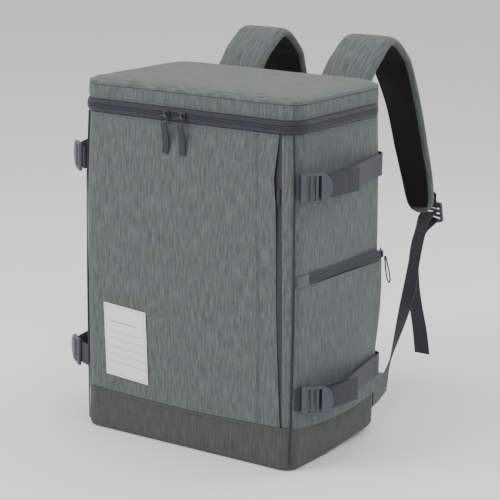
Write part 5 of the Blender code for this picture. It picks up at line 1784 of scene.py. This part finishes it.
    def wing(self, name, side, materials):
        """Triangular cloth tab at the lower back corner, which the lower strap is sewn into."""
        rows = [(row[0], self.stand_off(row[1], side), *row[2:]) for row in ADJUSTER_RUN]
        before, end = smooth_run(rows, 3)[-2:]
        along = (Vector(end[:3]) - Vector(before[:3])).normalized()
        across = Vector(end[3:])
        across = (across - along * across.dot(along)).normalized()
        out = across.cross(along)
        tip = Vector(end[:3]) + along * SEAM_GAP
        root_z = tip.z - WING_DROP
        root = around(side_run(root_z, POCKET_BACK + WING_LAYER / 2), root_z, SEAM_GAP * 2 + WING_LAYER)
        root.y -= WING_LAYER * 0.70
        up = Vector((0.0, 0.0, 1.0))
        sections = []
        for share in spaced(0.0, 1.0, 14):
            half = between(WING_SECTIONS, share)
            middle = root.lerp(tip, share)
            rise = up.lerp(across, share) * (WEBBING_WIDTH * half)
            thick = Vector((1.0, 0.0, 0.0)).lerp(out, share) * (WING_LAYER / 2)
            section = []
            for a, b in ((-1.0, -0.5), (-1.0, 0.5), (-0.94, 1.0), (0.0, 1.1), (0.94, 1.0), (1.0, 0.5),
                         (1.0, -0.5),
                         (0.94, -1.0), (0.0, -1.1), (-0.94, -1.0)):
                corner = middle + rise * a + thick * b
                section.append((side * corner.x, corner.y, corner.z))
            sections.append(section)
        wear(loft("strap_wing_cloth_" + name, sections, materials["wrap"]), "body_fabric",
             "strap_wing_" + name)


STEPS = (BACKPACK_OT_stage, BACKPACK_OT_body, BACKPACK_OT_front, BACKPACK_OT_lid, BACKPACK_OT_pulls,
         BACKPACK_OT_side_pocket, BACKPACK_OT_side_straps, BACKPACK_OT_shoulder_straps)


class BACKPACK_PT_panel(bpy.types.Panel):
    """Settings and steps of the backpack."""

    bl_label = "Cooler Backpack"
    bl_idname = "BACKPACK_PT_panel"
    bl_space_type = "VIEW_3D"
    bl_region_type = "UI"
    bl_category = "Backpack"

    def draw(self, context):
        for group in (context.scene.bag_sizes, context.scene.bag_colours):
            column = self.layout.column()
            for key in group.__annotations__:
                column.prop(group, key)
        for step in STEPS:
            self.layout.operator(step.bl_idname)


CLASSES = (BagSizes, BagColours) + STEPS + (BACKPACK_PT_panel,)


def register():
    """Add the settings, the steps and the panel."""
    for item in CLASSES:
        bpy.utils.register_class(item)
    bpy.types.Scene.bag_sizes = bpy.props.PointerProperty(type=BagSizes)
    bpy.types.Scene.bag_colours = bpy.props.PointerProperty(type=BagColours)


def unregister():
    """Take the settings, the steps and the panel away."""
    del bpy.types.Scene.bag_colours
    del bpy.types.Scene.bag_sizes
    for item in reversed(CLASSES):
        bpy.utils.unregister_class(item)


def main():
    """Build the whole bag."""
    register()
    bpy.ops.backpack.stage()
    bpy.ops.backpack.body()
    bpy.ops.backpack.front()
    bpy.ops.backpack.lid()
    bpy.ops.backpack.pulls()
    bpy.ops.backpack.side_pocket()
    bpy.ops.backpack.side_straps()
    bpy.ops.backpack.shoulder_straps()


if __name__ == "__main__":
    main()
